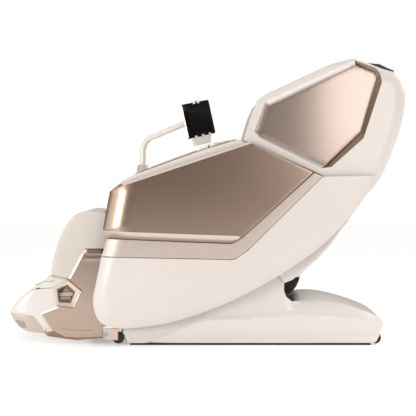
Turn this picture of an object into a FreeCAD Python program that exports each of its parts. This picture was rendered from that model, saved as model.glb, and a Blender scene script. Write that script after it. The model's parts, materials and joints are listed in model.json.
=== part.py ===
import FreeCAD, Part
import PartDesign, Sketcher, Spreadsheet
import math
import os

# Massage chair.  Millimetres.  +Z up, the feet point to -Y, the head to +Y, the sitter's left is +X.
# The origin is on the floor under the middle of the chair.  "near" and "far" are distances from the
# plane of symmetry, and side is +1 for the sitter's left half and -1 for the right half.

Vector = FreeCAD.Vector
BOTH = (("left", 1), ("right", -1))

DIMENSIONS = {
    # side shells and arms, measured from the plane of symmetry
    "shell_near": 370, "shell_far": 385, "trim_near": 362, "trim_far": 387,
    "panel_near": 362, "panel_far": 390, "arm_near": 258, "arm_far": 359,
    "arm_wall": 272, "armpad_near": 268, "armpad_far": 338, "cradle_near": 283,
    "cradle_far": 323,
    # base
    "base_near": 250, "base_far": 305, "skirt_near": 262, "skirt_far": 298, "skirt_depth": 9,
    "pan_half": 248, "pan_floor": 9, "pan_roof": 13, "rail_near": 198, "rail_far": 224,
    "rail_floor": 14, "rail_roof": 44, "rail_front": -300, "rail_rear": 620, "rail_cross": 24,
    "hump_half": 249, "screw_radius": 8, "screw_height": 34, "screw_front": -285, "screw_rear": 300,
    "inlet_floor": 52, "inlet_roof": 82,
    "front_wheel_y": -378, "rear_wheel_y": 748, "wheel_z": 30, "wheel_radius": 26,
    "wheel_near": 262, "wheel_far": 284, "wheel_gap": 4, "axle_radius": 6,
    "bracket_near": 289, "bracket_far": 301,
    # sliding carriage and the tilt axis on it
    "tilt_y": 0, "tilt_z": 250, "shaft_radius": 12, "running_gap": 0.05,
    "carriage_near": 204, "carriage_far": 218, "carriage_floor": 46, "nut_half": 25,
    # seat
    "seatframe_near": 230, "seatframe_far": 244, "cushion_half": 226,
    "recline_y": 250, "recline_z": 364, "knee_y": -445, "knee_z": 505,
    "knee_shaft_radius": 10, "tube_radius": 15,
    # backrest, along and across its own line
    "back_foot_y": 175, "back_foot_z": 420, "back_angle": 61, "backpad_half": 248, "backpad_depth": 78,
    "backframe_near": 212, "backframe_far": 226, "cover_low_half": 238, "cover_high_half": 345,
    "cover_wall": 18, "pod_near": 258, "pod_far": 345, "pod_recess": 331, "pod_skin_near": 270,
    "pod_skin_far": 320, "podpanel_near": 332,
    "podpanel_far": 340, "lift_screw_across": 212, "pillow_half": 140,
    # massage unit
    "unit_low": 215, "unit_high": 365, "unit_half": 170, "roller_radius": 18, "knead_reach": 50,
    "knead_near": 60, "knead_link": 70, "knead_far": 104, "knead_across": 114,
    "knead_lug_near": 34, "knead_lug_far": 48,
    # leg rest and foot rest
    "leg_half": 250, "calf_half": 251, "calf_skin_near": 246, "legframe_near": 205, "legframe_far": 218,
    "legpanel_near": 236, "legpanel_far": 252, "badge_near": 253, "badge_far": 259,
    "foot_core_half": 233, "well_near": 36, "well_far": 196,
    "footroller_radius": 16, "footroller_y": -684, "footroller_z": 104, "footpin_radius": 5,
    # tablet holder
    "post_x": -310, "post_y": -297, "post_foot": 758, "post_sunk": 60, "post_bend": 905, "post_radius": 13.5,
    "bend_radius": 78, "collar_radius": 24, "collar_height": 34, "tablet_x": -50, "tablet_y": -30,
    "tablet_z": 1000, "tablet_wide": 240, "tablet_tall": 160, "tablet_thick": 9, "tablet_yaw": 58,
    "tablet_lean": 9.6, "tablet_roll": 8.2, "ball_radius": 15, "ball_back": 38, "clamp_thick": 11,
    "knob_radius": 15, "knob_height": 13, "knob_x": -305, "knob_y": 120,
}

doc = FreeCAD.newDocument("massage_chair")
sheet = doc.addObject("Spreadsheet::Sheet", "dims")
for row, (alias, value) in enumerate(DIMENSIONS.items(), start=1):
    sheet.set(f"A{row}", alias)
    sheet.set(f"B{row}", str(value))
    sheet.setAlias(f"B{row}", alias)
doc.recompute()

subparts = []


def dim(alias):
    """The plain number in the sheet's cell of that name."""
    return float(sheet.get(alias))


def named(alias):
    return f"dims.{alias}"


def keep(feature, label):
    """Marks a finished piece, which is written to a file under its label."""
    feature.Label = label
    subparts.append(feature)
    return feature


# ---------------------------------------------------------------- outlines

def rounded_edges(corners):
    """Lines through the corners (across, up[, radius]), with an arc at each corner that has a radius."""
    starts, arcs, ends = [], [], []
    count = len(corners)
    for index, corner in enumerate(corners):
        point = Vector(corner[0], corner[1], 0)
        radius = corner[2] if len(corner) > 2 else 0
        if not radius:
            starts.append(point)
            arcs.append(None)
            ends.append(point)
            continue
        before = Vector(*corners[index - 1][:2], 0) - point
        after = Vector(*corners[(index + 1) % count][:2], 0) - point
        before.normalize()
        after.normalize()
        half = before.getAngle(after) / 2
        reach = radius / math.tan(half)
        middle = before + after
        middle.normalize()
        nearest = point + middle * (radius / math.sin(half) - radius)
        starts.append(point + before * reach)
        ends.append(point + after * reach)
        arcs.append(Part.Arc(starts[-1], nearest, ends[-1]))
    edges = []
    for index in range(count):
        if arcs[index]:
            edges.append(arcs[index])
        edges.append(Part.LineSegment(ends[index], starts[(index + 1) % count]))
    return edges


def slab(name, corners, near, far):
    """A body with a Y-Z outline, padded along X from near to far, both expressions."""
    body = doc.addObject("PartDesign::Body", name)
    sketch = body.newObject("Sketcher::SketchObject", name + "_outline")
    plane = [item for item in body.Origin.OriginFeatures if item.Role == "YZ_Plane"][0]
    sketch.AttachmentSupport = [(plane, "")]
    sketch.MapMode = "FlatFace"
    sketch.setExpression("AttachmentOffset.Base.z", near)
    for edge in rounded_edges(corners):
        sketch.addGeometry(edge)
    pad = body.newObject("PartDesign::Pad", name + "_pad")
    pad.Profile = sketch
    pad.setExpression("Length", f"({far}) - ({near})")
    return body


def side_slab(name, corners, near, far, side):
    """The same for the left half, and mirrored to the right half when side is -1."""
    if side > 0:
        return slab(name, corners, named(near), named(far))
    return slab(name, corners, "-" + named(far), "-" + named(near))


def middle_slab(name, corners, half):
    return slab(name, corners, "-" + named(half), named(half))


def block(name, low, high):
    """A box between two corners, each given as three expressions."""
    box = doc.addObject("Part::Box", name)
    for size, axis, start, end in zip(("Length", "Width", "Height"), "xyz", low, high):
        box.setExpression(size, f"({end}) - ({start})")
        box.setExpression(f"Placement.Base.{axis}", str(start))
    return box


def rod(name, radius, near, far, across, up):
    """A cylinder along X from near to far; all its sizes are expressions."""
    bar = doc.addObject("Part::Cylinder", name)
    bar.Placement = FreeCAD.Placement(Vector(), FreeCAD.Rotation(Vector(0, 1, 0), 90))
    bar.setExpression("Radius", radius)
    bar.setExpression("Height", f"({far}) - ({near})")
    bar.setExpression("Placement.Base.x", near)
    bar.setExpression("Placement.Base.y", across)
    bar.setExpression("Placement.Base.z", up)
    return bar


def joined(name, pieces):
    if len(pieces) == 1:
        return pieces[0]
    group = doc.addObject("Part::MultiFuse", name)
    group.Shapes = pieces
    return group


def apart(name, pieces):
    """Several separate solids in one piece, such as a pair of wheels' brackets."""
    group = doc.addObject("Part::Compound", name)
    group.Links = pieces
    return group


def cut(name, base, tools):
    result = doc.addObject("Part::Cut", name)
    result.Base = base
    result.Tool = joined(name + "_tools", tools)
    return result


# ---------------------------------------------------------------- base

def base_outline():
    """One side cover: flat foot, a horn hidden by the side shell, a notch, and the long rear hump."""
    return [(-334, 9), (-359, 66), (-345, 112, 20), (0, 236), (205, 330), (300, 348, 20), (350, 285, 15),
            (347, 240), (358, 208), (384, 186, 15), (430, 191), (470, 192), (538, 180), (651, 148),
            (726, 116), (768, 94, 15), (781, 74, 12), (765, 41), (749, 12), (735, 9)]


def build_base():
    rails = [block(f"rail_{word}", ("dims.rail_near" if side > 0 else "-dims.rail_far", "dims.rail_front",
                                    "dims.rail_floor"),
                   ("dims.rail_far" if side > 0 else "-dims.rail_near", "dims.rail_rear", "dims.rail_roof"))
             for word, side in BOTH]
    crossbars = [block(f"crossbar_{word}", ("-dims.rail_far", start, "dims.rail_floor"),
                       ("dims.rail_far", start + " + dims.rail_cross", "dims.rail_floor + 8"))
                 for word, start in (("front", "dims.rail_front"),
                                     ("rear", "dims.rail_rear - dims.rail_cross"))]
    keep(joined("base_frame_steel", rails + crossbars), "base_frame")
    keep(block("pan", ("-dims.pan_half", "-328", "dims.pan_floor"),
               ("dims.pan_half", "636", "dims.pan_roof")),
         "base_pan")
    for word, side in BOTH:
        cover = side_slab(f"cover_{word}", base_outline(), "base_near", "base_far", side)
        near, far = ("dims.wheel_near - 6", "dims.wheel_far + 4")
        if side < 0:
            near, far = "-(" + far + ")", "-(" + near + ")"
        well = rod(f"wheel_well_{word}", "dims.wheel_radius + dims.wheel_gap", near, far,
                   "dims.rear_wheel_y", "dims.wheel_z")
        passage = rod(f"axle_passage_{word}", "dims.axle_radius + 1", "-dims.base_far + 8",
                      "dims.base_far - 8",
                      "dims.rear_wheel_y", "dims.wheel_z")
        keep(cut(f"cover_cut_{word}", cover, [well, passage]), f"base_side_cover_{word}")
    hump = middle_slab("hump", [(640, 9), (640, 120), (655, 150, 20), (700, 148), (740, 126), (770, 103, 15),
                                (781, 76, 12), (765, 41), (749, 12), (735, 9)], "hump_half")
    recess = block("inlet_recess", ("-150", "748", "dims.inlet_floor - 4"),
                   ("-60", "800", "dims.inlet_roof + 4"))
    passage = rod("axle_passage", "dims.axle_radius + 1", "-dims.base_far", "dims.base_far",
                  "dims.rear_wheel_y", "dims.wheel_z")
    keep(cut("hump_cut", hump, [recess, passage]), "base_rear_cover")
    strips = []
    for word, side in BOTH:
        low, high = ("dims.skirt_near", "dims.skirt_far") if side > 0 else ("-dims.skirt_far",
                                                                            "-dims.skirt_near")
        strips.append(block(f"strip_{word}", (low, "-326", "0"), (high, "726", "dims.skirt_depth")))
    strips.append(block("strip_rear", ("-dims.skirt_far", "700", "0"),
                        ("dims.skirt_far", "726", "dims.skirt_depth")))
    keep(joined("skirt", strips), "rubber_skirt")
    keep(block("electronics", ("-150", "470", "16"), ("150", "590", "96")), "control_box")
    keep(block("pump", ("-120", "318", "16"), ("120", "440", "92")), "air_pump")
    screw = doc.addObject("Part::Cylinder", "screw")
    screw.Placement = FreeCAD.Placement(Vector(), FreeCAD.Rotation(Vector(1, 0, 0), -90))
    screw.setExpression("Radius", "dims.screw_radius")
    screw.setExpression("Height", "dims.screw_rear - dims.screw_front")
    screw.setExpression("Placement.Base.y", "dims.screw_front")
    screw.setExpression("Placement.Base.z", "dims.screw_height")
    motor = block("screw_motor", ("-30", "262", "15"), ("30", "312", "70"))
    keep(joined("screw_and_motor", [screw, motor]), "slide_actuator")
    keep(block("inlet", ("-146", "749", "dims.inlet_floor"), ("-100", "767", "dims.inlet_roof")),
         "power_inlet")
    keep(block("rocker", ("-88", "758", "dims.inlet_floor + 4"), ("-66", "769", "dims.inlet_roof - 4")),
         "power_rocker")
    arms = []
    for word, side in BOTH:
        outline = [(-440, 72), (-440, 60), (-420, 57), (-420, 40), (-437, 38), (-437, 27), (-418, 22),
                   (-379, 22),
                   (-379, 58), (-361, 60), (-361, 72)]
        arms.append(side_slab(f"bracket_{word}", outline, "bracket_near", "bracket_far", side))
        root = [(-400, 58), (-361, 60), (-361, 73), (-400, 72)]
        arms.append(side_slab(f"bracket_root_{word}", root, "base_near", "bracket_far", side))
    keep(apart("brackets", [joined(f"bracket_pair_{i}", arms[i:i + 2]) for i in (0, 2)]), "front_brackets")


def wheel_pair(label, across):
    """Two transport wheels on one axle, with a flat tread and a groove in each outer face."""
    solids = [rod(label + "_axle", "dims.axle_radius", "-dims.wheel_far", "dims.wheel_far", across,
                  "dims.wheel_z")]
    for word, side in BOTH:
        near, far = ("dims.wheel_near", "dims.wheel_far") if side > 0 else ("-dims.wheel_far",
                                                                            "-dims.wheel_near")
        solids.append(rod(f"{label}_{word}", "dims.wheel_radius", near, far, across, "dims.wheel_z"))
    keep(joined(label + "_set", solids), label)


# ---------------------------------------------------------------- carriage

def build_carriage():
    outline = [(-240, 46), (240, 46), (240, 84), (62, 112), (26, 262, 10), (0, 280, 24), (-26, 262, 10),
               (-62, 112), (-240, 84)]
    plates = [side_slab(f"carriage_plate_{word}", outline, "carriage_near", "carriage_far", side)
              for word, side in BOTH]
    beams = [block(f"carriage_beam_{word}", ("-dims.carriage_far", start, "dims.carriage_floor + 4"),
                   ("dims.carriage_far", f"{start} + 40", "dims.carriage_floor + 34"))
             for word, start in (("front", "-220"), ("rear", "180"))]
    nut = block("slide_nut", ("-dims.nut_half", "182", "20"),
                ("dims.nut_half", "218", "dims.carriage_floor + 10"))
    bore = doc.addObject("Part::Cylinder", "slide_nut_bore")
    bore.Placement = FreeCAD.Placement(Vector(), FreeCAD.Rotation(Vector(1, 0, 0), -90))
    bore.setExpression("Radius", "dims.screw_radius + dims.running_gap")
    bore.setExpression("Height", "200")
    bore.setExpression("Placement.Base.y", "100")
    bore.setExpression("Placement.Base.z", "dims.screw_height")
    eye = rod("tilt_eye", "dims.shaft_radius", "-dims.shell_near", "dims.shell_near", "dims.tilt_y",
              "dims.tilt_z")
    keep(cut("carriage_bored", joined("carriage_steel", plates + beams + [nut]), [bore, eye]),
         "carriage_frame")
    keep(rod("tilt_bar", "dims.shaft_radius", "-dims.seatframe_far - 4", "dims.seatframe_far + 4",
             "dims.tilt_y", "dims.tilt_z"), "tilt_shaft")
    keep(block("tilt_drive", ("-95", "-30", "84"), ("95", "70", "190")), "tilt_motor")


# ---------------------------------------------------------------- seat, shells and arms

def build_seat_frame():
    outline = [(-471, 505, 8), (-452, 530, 20), (-420, 520, 20), (-392, 440), (140, 285), (212, 338),
               (224, 386, 18), (262, 394, 20), (278, 362, 20), (262, 336, 12), (32, 224, 20),
               (-32, 224, 20),
               (-110, 300), (-395, 384)]
    plates = [side_slab(f"seat_plate_{word}", outline, "seatframe_near", "seatframe_far", side)
              for word, side in BOTH]
    tubes = [rod(f"seat_tube_{i}", "dims.tube_radius", "-dims.seatframe_far", "dims.seatframe_far", y, z)
             for i, (y, z) in enumerate((("-385", "412"), ("-120", "318"), ("120", "278")))]
    holes = [rod("tilt_bore", "dims.shaft_radius + dims.running_gap", "-300", "300", "dims.tilt_y",
                 "dims.tilt_z"),
             rod("recline_bore", "dims.shaft_radius", "-300", "300", "dims.recline_y", "dims.recline_z"),
             rod("knee_bore", "dims.knee_shaft_radius", "-300", "300", "dims.knee_y", "dims.knee_z")]
    keep(cut("seat_frame_bored", joined("seat_frame_steel", plates + tubes), holes), "seat_frame")
    keep(rod("recline_bar", "dims.shaft_radius", "-dims.seatframe_far - 4", "dims.seatframe_far + 4",
             "dims.recline_y", "dims.recline_z"), "recline_shaft")
    keep(rod("knee_bar", "dims.knee_shaft_radius", "-dims.seatframe_far", "dims.seatframe_far",
             "dims.knee_y", "dims.knee_z"), "knee_shaft")
    keep(middle_slab("pan_board", [(-386, 462), (-386, 450), (146, 297), (150, 309)], "cushion_half"),
         "seat_pan")
    keep(middle_slab("seat_foam", [(-362, 563, 30), (-386, 464, 10), (150, 311, 10), (152, 404, 20)],
                     "cushion_half"), "seat_cushion")
    keep(middle_slab("apron", [(-384, 392), (-372, 110), (-364, 110), (-374, 392)], "cushion_half"),
         "front_apron")


CRADLE = [(-22, 840), (-23, 868, 4), (30, 881, 4), (34, 858)]


def build_side(word, side):
    shell = [(-446, 389), (-453, 356), (-471, 270), (-486, 205, 25), (-477, 143, 40), (-450, 88, 45),
             (-386, 76),
             (-320, 76), (-173, 95), (-24, 139), (124, 198), (272, 276), (420, 369), (547, 468), (649, 593),
             (702, 668), (735, 745, 12), (509, 735), (190, 420), (130, 378)]
    keep(side_slab(f"shell_{word}", shell, "shell_near", "shell_far", side), f"side_shell_{word}")
    trim = [(-425, 465), (-447, 392), (129, 381), (188, 423, 20), (507, 737), (474, 751), (162, 470, 20),
            (118, 444), (-129, 453)]
    keep(side_slab(f"trim_{word}", trim, "trim_near", "trim_far", side), f"trim_band_{word}")
    panel = [(-409, 671), (-443, 510, 20), (-425, 469), (-129, 457), (118, 448), (160, 473, 20), (470, 754),
             (189, 881), (-377, 690, 15)]
    keep(side_slab(f"panel_{word}", panel, "panel_near", "panel_far", side), f"arm_panel_{word}")
    arm = [(-405, 671), (-438, 512, 20), (-420, 480), (325, 480), (325, 820), (163, 886), (141, 896),
           (-20, 848),
           (-205, 779), (-297, 747), (-364, 710, 30)]
    inside = [(-388, 658), (-420, 520), (-404, 495), (312, 495), (312, 806), (162, 856), (-20, 816),
              (-200, 746), (-290, 718), (-350, 690)]
    armpad = [(-236, 757), (-205, 769), (-20, 838), (112, 879), (108, 894, 6), (-22, 854), (-210, 785),
              (-240, 773, 6)]
    hollows = [side_slab(f"arm_inside_{word}", inside, "arm_wall", "panel_far", side),
               side_slab(f"armpad_seat_{word}", armpad, "armpad_near", "armpad_far", side)]
    pad = side_slab(f"armpad_{word}", armpad, "armpad_near", "armpad_far", side)
    if side < 0:
        hollows.append(post_bore("arm_bore"))
    else:
        pad = cut("armpad_notched", pad, [slab("cradle_seat", CRADLE, "dims.cradle_near",
                                               "dims.cradle_far")])
    keep(cut(f"arm_hollowed_{word}", side_slab(f"arm_{word}", arm, "arm_near", "arm_far", side), hollows),
         f"arm_body_{word}")
    keep(pad, f"armrest_pad_{word}")


def post_bore(name):
    """The round hole that the tablet holder's post turns in."""
    bore = doc.addObject("Part::Cylinder", name)
    bore.setExpression("Radius", "dims.post_radius + dims.running_gap")
    bore.setExpression("Height", "dims.post_sunk + 100")
    bore.setExpression("Placement.Base.x", "dims.post_x")
    bore.setExpression("Placement.Base.y", "dims.post_y")
    bore.setExpression("Placement.Base.z", "dims.post_foot - dims.post_sunk")
    return bore


def build_arm_fittings():
    collar = doc.addObject("Part::Cone", "collar")
    collar.setExpression("Radius1", "dims.collar_radius + 6")
    collar.setExpression("Radius2", "dims.collar_radius - 2")
    collar.setExpression("Height", "dims.collar_height")
    collar.setExpression("Placement.Base.x", "dims.post_x")
    collar.setExpression("Placement.Base.y", "dims.post_y")
    collar.setExpression("Placement.Base.z", "dims.post_foot")
    keep(cut("collar_bored", collar, [post_bore("collar_bore")]), "tablet_socket")
    body = slab("cradle", CRADLE, "dims.cradle_near", "dims.cradle_far")
    slot = slab("cradle_slot", [(14, 862), (12, 890), (20, 890), (22, 863)], "dims.cradle_near + 5",
                "dims.cradle_far - 5")
    keep(cut("cradle_slotted", body, [slot]), "phone_cradle")
    knob = doc.addObject("Part::Cylinder", "knob")
    knob.setExpression("Radius", "dims.knob_radius")
    knob.setExpression("Height", "dims.knob_height")
    knob.setExpression("Placement.Base.x", "dims.knob_x")
    knob.setExpression("Placement.Base.y", "dims.knob_y + 8")
    knob.setExpression("Placement.Base.z", "896")
    keep(knob, "arm_knob")


# ---------------------------------------------------------------- backrest

def back_point(along, across):
    """A point given along the backrest's front surface and across it, towards the rear."""
    angle = math.radians(dim("back_angle"))
    return (dim("back_foot_y") + along * math.cos(angle) + across * math.sin(angle),
            dim("back_foot_z") + along * math.sin(angle) - across * math.cos(angle))


def back_box(low, high, front, rear):
    return [back_point(low, front), back_point(low, rear), back_point(high, rear), back_point(high, front)]


REAR_LINE = [(416, 298), (486, 349), (554, 441), (634, 538), (720, 652), (770, 743), (820, 861), (855, 967),
             (872, 1088), (850, 1158), (828, 1190), (770, 1197)]
INNER_LINE = [(768, 1192), (783, 1150), (800, 1085), (788, 990), (756, 893), (708, 782), (664, 700),
              (590, 600), (506, 492), (446, 412), (395, 345)]


def inset(line, amount):
    """The line moved to its left by amount, vertex by vertex."""
    moved = []
    for index, (across, up) in enumerate(line):
        before = line[max(index - 1, 0)]
        after = line[min(index + 1, len(line) - 1)]
        length = math.hypot(after[0] - before[0], after[1] - before[1])
        moved.append((across - amount * (after[1] - before[1]) / length,
                      up + amount * (after[0] - before[0]) / length))
    return moved


def build_backrest():
    wide_from = 4
    narrow = middle_slab("cover_narrow", REAR_LINE[:wide_from + 2] + INNER_LINE[-wide_from - 2:],
                         "cover_low_half")
    wide = middle_slab("cover_wide", REAR_LINE[wide_from:] + INNER_LINE[:-wide_from], "cover_high_half")
    wall = dim("cover_wall")
    rear = inset(REAR_LINE, wall)
    hollow_low = slab("hollow_low", rear[1:wide_from + 2] + [(600, 760), (380, 430)],
                      "-(dims.cover_low_half - dims.cover_wall)", "dims.cover_low_half - dims.cover_wall")
    hollow_high = slab("hollow_high", rear[wide_from:-2] + [(700, 1165), (560, 760)],
                       "-(dims.cover_high_half - dims.cover_wall)", "dims.cover_high_half - dims.cover_wall")
    keep(cut("cover_hollowed", joined("cover_solid", [narrow, wide]), [hollow_low, hollow_high]),
         "back_cover")
    seam = [(across - 2, up) for across, up in INNER_LINE[:7]]
    pod = [(168, 894), (203, 1008), (228, 1063, 20), (262, 1092, 20), (417, 1164), (550, 1225),
           (645, 1246, 25),
           (750, 1213)] + seam + [(535, 705), (507, 760)]
    recess = [(262, 1058), (215, 930, 10), (236, 905), (500, 773), (528, 769, 15), (548, 778), (684, 901),
              (693, 922), (762, 1142), (756, 1180), (735, 1206), (648, 1236)]
    inside = [(190, 906), (219, 1003), (243, 1056), (272, 1080), (645, 1228), (700, 1212), (800, 1185),
              (800, 950), (700, 700), (640, 745), (515, 777)]
    face = [(279, 1047), (236, 916), (524, 784), (677, 933), (744, 1179), (652, 1220)]
    for word, side in BOTH:
        wing = side_slab(f"pod_{word}", pod, "pod_near", "pod_far", side)
        pocket = side_slab(f"pod_pocket_{word}", recess, "pod_recess", "panel_far", side)
        cavity = side_slab(f"pod_cavity_{word}", inside, "pod_skin_near", "pod_skin_far", side)
        keep(cut(f"pod_cut_{word}", wing, [pocket, cavity]), f"shoulder_pod_{word}")
        keep(side_slab(f"pod_face_{word}", face, "podpanel_near", "podpanel_far", side),
             f"pod_panel_{word}")
    plate = [back_point(-42, 66), back_point(-42, 150), back_point(800, 150), back_point(800, 88),
             back_point(16, 88), back_point(16, 66)]
    plates = [side_slab(f"back_plate_{word}", plate, "backframe_near", "backframe_far", side)
              for word, side in BOTH]
    tubes = []
    for index, along in enumerate((40, 785)):
        across, up = back_point(along, 135)
        tubes.append(rod(f"back_tube_{index}", "12", "-dims.backframe_near", "dims.backframe_near",
                         str(across), str(up)))
    eye = rod("recline_eye", "dims.shaft_radius + dims.running_gap", "-300", "300",
              "dims.recline_y", "dims.recline_z")
    keep(cut("back_frame_bored", joined("back_frame_steel", plates + tubes), [eye]), "back_frame")
    depth = dim("backpad_depth")
    keep(middle_slab("back_foam", back_box(22, 872, 0, depth), "backpad_half"), "back_cushion")
    pillow = back_box(640, 868, -56, -2)
    keep(middle_slab("pillow_foam", [corner + (14,) for corner in pillow], "pillow_half"), "head_pillow")
    cap = [(604, 1192), (668, 1160), (752, 1172), (760, 1201), (828, 1195), (838, 1199, 3), (806, 1211),
           (768, 1231, 12), (700, 1236), (640, 1222, 25)]
    keep(middle_slab("cap", cap, "backpad_half"), "top_cap")
    add_lift_screw("lift_rod", "dims.screw_radius", 20, 810)
    keep(doc.getObject("lift_rod"), "lift_screw")


def add_lift_screw(name, radius, low, high):
    """A cylinder along the backrest's own line, at the depth of the lifting screw."""
    bar = doc.addObject("Part::Cylinder", name)
    across, up = back_point(low, dim("lift_screw_across"))
    tilt = FreeCAD.Rotation(Vector(1, 0, 0), dim("back_angle") - 90)
    bar.Placement = FreeCAD.Placement(Vector(0, across, up), tilt)
    bar.setExpression("Radius", radius)
    bar.Height = high - low
    return bar


def build_massage_unit():
    low, high = dim("unit_low"), dim("unit_high")
    middle = (low + high) / 2
    body = middle_slab("unit_body", back_box(low, high, 150, 190), "unit_half")
    nut = slab("unit_nut", back_box(middle - 30, middle + 30, 188, 236), "-dims.nut_half", "dims.nut_half")
    bore = add_lift_screw("unit_bore", "dims.screw_radius + dims.running_gap", 0, 700)
    solids = [body, nut]
    hub_across, hub_up = back_point(middle, dim("knead_across") + 6)
    reach = dim("knead_reach")
    holes = [bore]
    for word, side in BOTH:
        lug = side_slab(f"unit_lug_{word}", back_box(middle - 12, middle + 12, 106, 152), "knead_lug_near",
                        "knead_lug_far", side)
        solids.append(lug)
        near, far = ("10", "dims.knead_far + 8") if side > 0 else ("-dims.knead_far - 8", "-10")
        holes.append(rod(f"knead_bore_{word}", "6 + dims.running_gap", near, far, str(hub_across),
                         str(hub_up)))
        rollers = [rod(f"knead_pin_{word}", "6", near, far, str(hub_across), str(hub_up))]
        link = side_slab(f"knead_link_{word}", back_box(middle - reach, middle + reach, 108, 126),
                         "knead_near",
                         "knead_link", side)
        rollers.append(link)
        for index, along in enumerate((middle - reach, middle + reach)):
            across, up = back_point(along, dim("knead_across"))
            start, end = ("dims.knead_link - 2", "dims.knead_far") if side > 0 else (
                "-dims.knead_far", "-dims.knead_link + 2")
            rollers.append(rod(f"roller_{word}_{index}", "dims.roller_radius", start, end, str(across),
                               str(up)))
        keep(joined(f"knead_set_{word}", rollers), f"knead_rollers_{word}")
    keep(cut("unit_bored", joined("unit_solid", solids), holes), "massage_unit")


# ---------------------------------------------------------------- leg rest and foot rest

def build_leg_rest():
    front = [(-676, 302), (-675, 325), (-666, 375), (-637, 471), (-598, 538, 30), (-565, 572, 20),
             (-508, 589, 30),
             (-449, 580), (-449, 546), (-480, 540), (-480, 424), (-530, 424), (-604, 286)]
    channel = [(-700, 280), (-641, 280), (-630, 300), (-568, 430), (-520, 500), (-470, 545), (-440, 640),
               (-700, 640)]
    tools = [side_slab(f"calf_channel_{word}", channel, "well_near", "well_far", side) for word,
             side in BOTH]
    skin = [(-482, 542), (-482, 426), (-450, 426), (-450, 548)]
    foam = [middle_slab("calf_foam", front, "calf_half")]
    foam += [side_slab(f"calf_skin_{word}", skin, "calf_skin_near", "calf_half", side) for word,
             side in BOTH]
    keep(cut("calf_channelled", joined("calf_solid", foam), tools), "calf_cushion")
    plate = [(-470, 498, 12), (-448, 532, 18), (-420, 512, 18), (-436, 430), (-500, 318), (-562, 318),
             (-522, 398),
             (-476, 418)]
    plates = [side_slab(f"leg_plate_{word}", plate, "legframe_near", "legframe_far", side) for word,
              side in BOTH]
    tubes = [rod("leg_tube", "dims.tube_radius - 3", "-dims.legframe_near", "dims.legframe_near", "-505",
                 "372"),
             rod("leg_tube_top", "dims.tube_radius - 3", "-dims.legframe_near", "dims.legframe_near",
                 "-461", "462")]
    eye = rod("knee_eye", "dims.knee_shaft_radius + dims.running_gap", "-300", "300", "dims.knee_y",
              "dims.knee_z")
    keep(cut("leg_frame_bored", joined("leg_frame_steel", plates + tubes), [eye]), "leg_frame")


LEG_PANEL = [(-532, 418), (-452, 418), (-446, 300), (-446, 24, 6), (-563, 15), (-619, 21), (-692, 32, 8),
             (-710, 48), (-752, 124), (-650, 164), (-604, 282)]


def build_foot_rest():
    wide = [(-861, 140, 12), (-853, 112), (-826, 76), (-790, 52), (-714, 46), (-754, 122, 0), (-756, 127),
            (-652, 168), (-610, 284), (-676, 299), (-706, 277), (-750, 251), (-790, 223), (-838, 178, 15)]
    core = [(-756, 130), (-712, 50), (-692, 36), (-563, 20), (-520, 20), (-520, 210), (-608, 284),
            (-652, 200)]
    shell = joined("foot_solid", [middle_slab("foot_wide", wide, "leg_half"),
                                  middle_slab("foot_core", core, "foot_core_half")])
    well = [(-556, 64), (-800, 164), (-782, 204), (-690, 240), (-690, 340), (-556, 340)]
    tools = [side_slab(f"foot_well_{word}", well, "well_near", "well_far", side) for word, side in BOTH]
    tools += [rod(f"roller_pocket_{word}", "dims.footroller_radius + 2",
                  "dims.well_near" if side > 0 else "-dims.well_far",
                  "dims.well_far" if side > 0 else "-dims.well_near",
                  "dims.footroller_y", "dims.footroller_z") for word, side in BOTH]
    tools.append(rod("roller_pin_bore", "dims.footpin_radius + dims.running_gap", "-215", "215",
                     "dims.footroller_y", "dims.footroller_z"))
    keep(cut("foot_hollowed", shell, tools), "foot_shell")
    for word, side in BOTH:
        keep(side_slab(f"leg_cover_{word}", LEG_PANEL, "legpanel_near", "legpanel_far", side),
             f"leg_panel_{word}")
    badge = [(-598, 282, 8), (-668, 245, 8), (-651, 165, 8), (-576, 157, 8), (-540, 234, 8)]
    keep(apart("badges", [side_slab(f"badge_{word}", badge, "badge_near", "badge_far", side)
                          for word, side in BOTH]), "ankle_badges")
    solids = [rod("footroller_pin", "dims.footpin_radius", "-212", "212", "dims.footroller_y",
                  "dims.footroller_z")]
    for word, side in BOTH:
        near, far = "dims.well_near + 4", "dims.well_far - 4"
        if side < 0:
            near, far = "-dims.well_far + 4", "-dims.well_near - 4"
        solids.append(rod(f"footroller_{word}", "dims.footroller_radius", near, far, "dims.footroller_y",
                          "dims.footroller_z"))
    keep(joined("footroller_set", solids), "foot_rollers")


# ---------------------------------------------------------------- tablet holder

def tablet_placement():
    """The tablet's own frame: x along its width, y up its height, z out of its screen."""
    yaw, lean, roll = (math.radians(dim(name)) for name in ("tablet_yaw", "tablet_lean", "tablet_roll"))
    out = Vector(math.cos(yaw) * math.cos(lean), math.sin(yaw) * math.cos(lean), math.sin(lean))
    up = Vector(-math.cos(yaw) * math.sin(lean), -math.sin(yaw) * math.sin(lean), math.cos(lean))
    wide = up.cross(out)
    rolled_wide = wide * math.cos(roll) + up * math.sin(roll)
    rolled_up = up * math.cos(roll) - wide * math.sin(roll)
    centre = Vector(dim("tablet_x"), dim("tablet_y"), dim("tablet_z"))
    return FreeCAD.Placement(centre, FreeCAD.Rotation(rolled_wide, rolled_up, out, "ZXY"))


def tablet_feature(label, shape):
    """A shape made flat in the tablet's own frame, then put in place."""
    feature = doc.addObject("Part::Feature", label + "_shape")
    feature.Shape = shape
    feature.Placement = tablet_placement()
    return keep(feature, label)


def flat_plate(corners, back, front):
    wire = Part.makePolygon([Vector(x, y, back) for x, y in corners + corners[:1]])
    return Part.Face(wire).extrude(Vector(0, 0, front - back))


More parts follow.
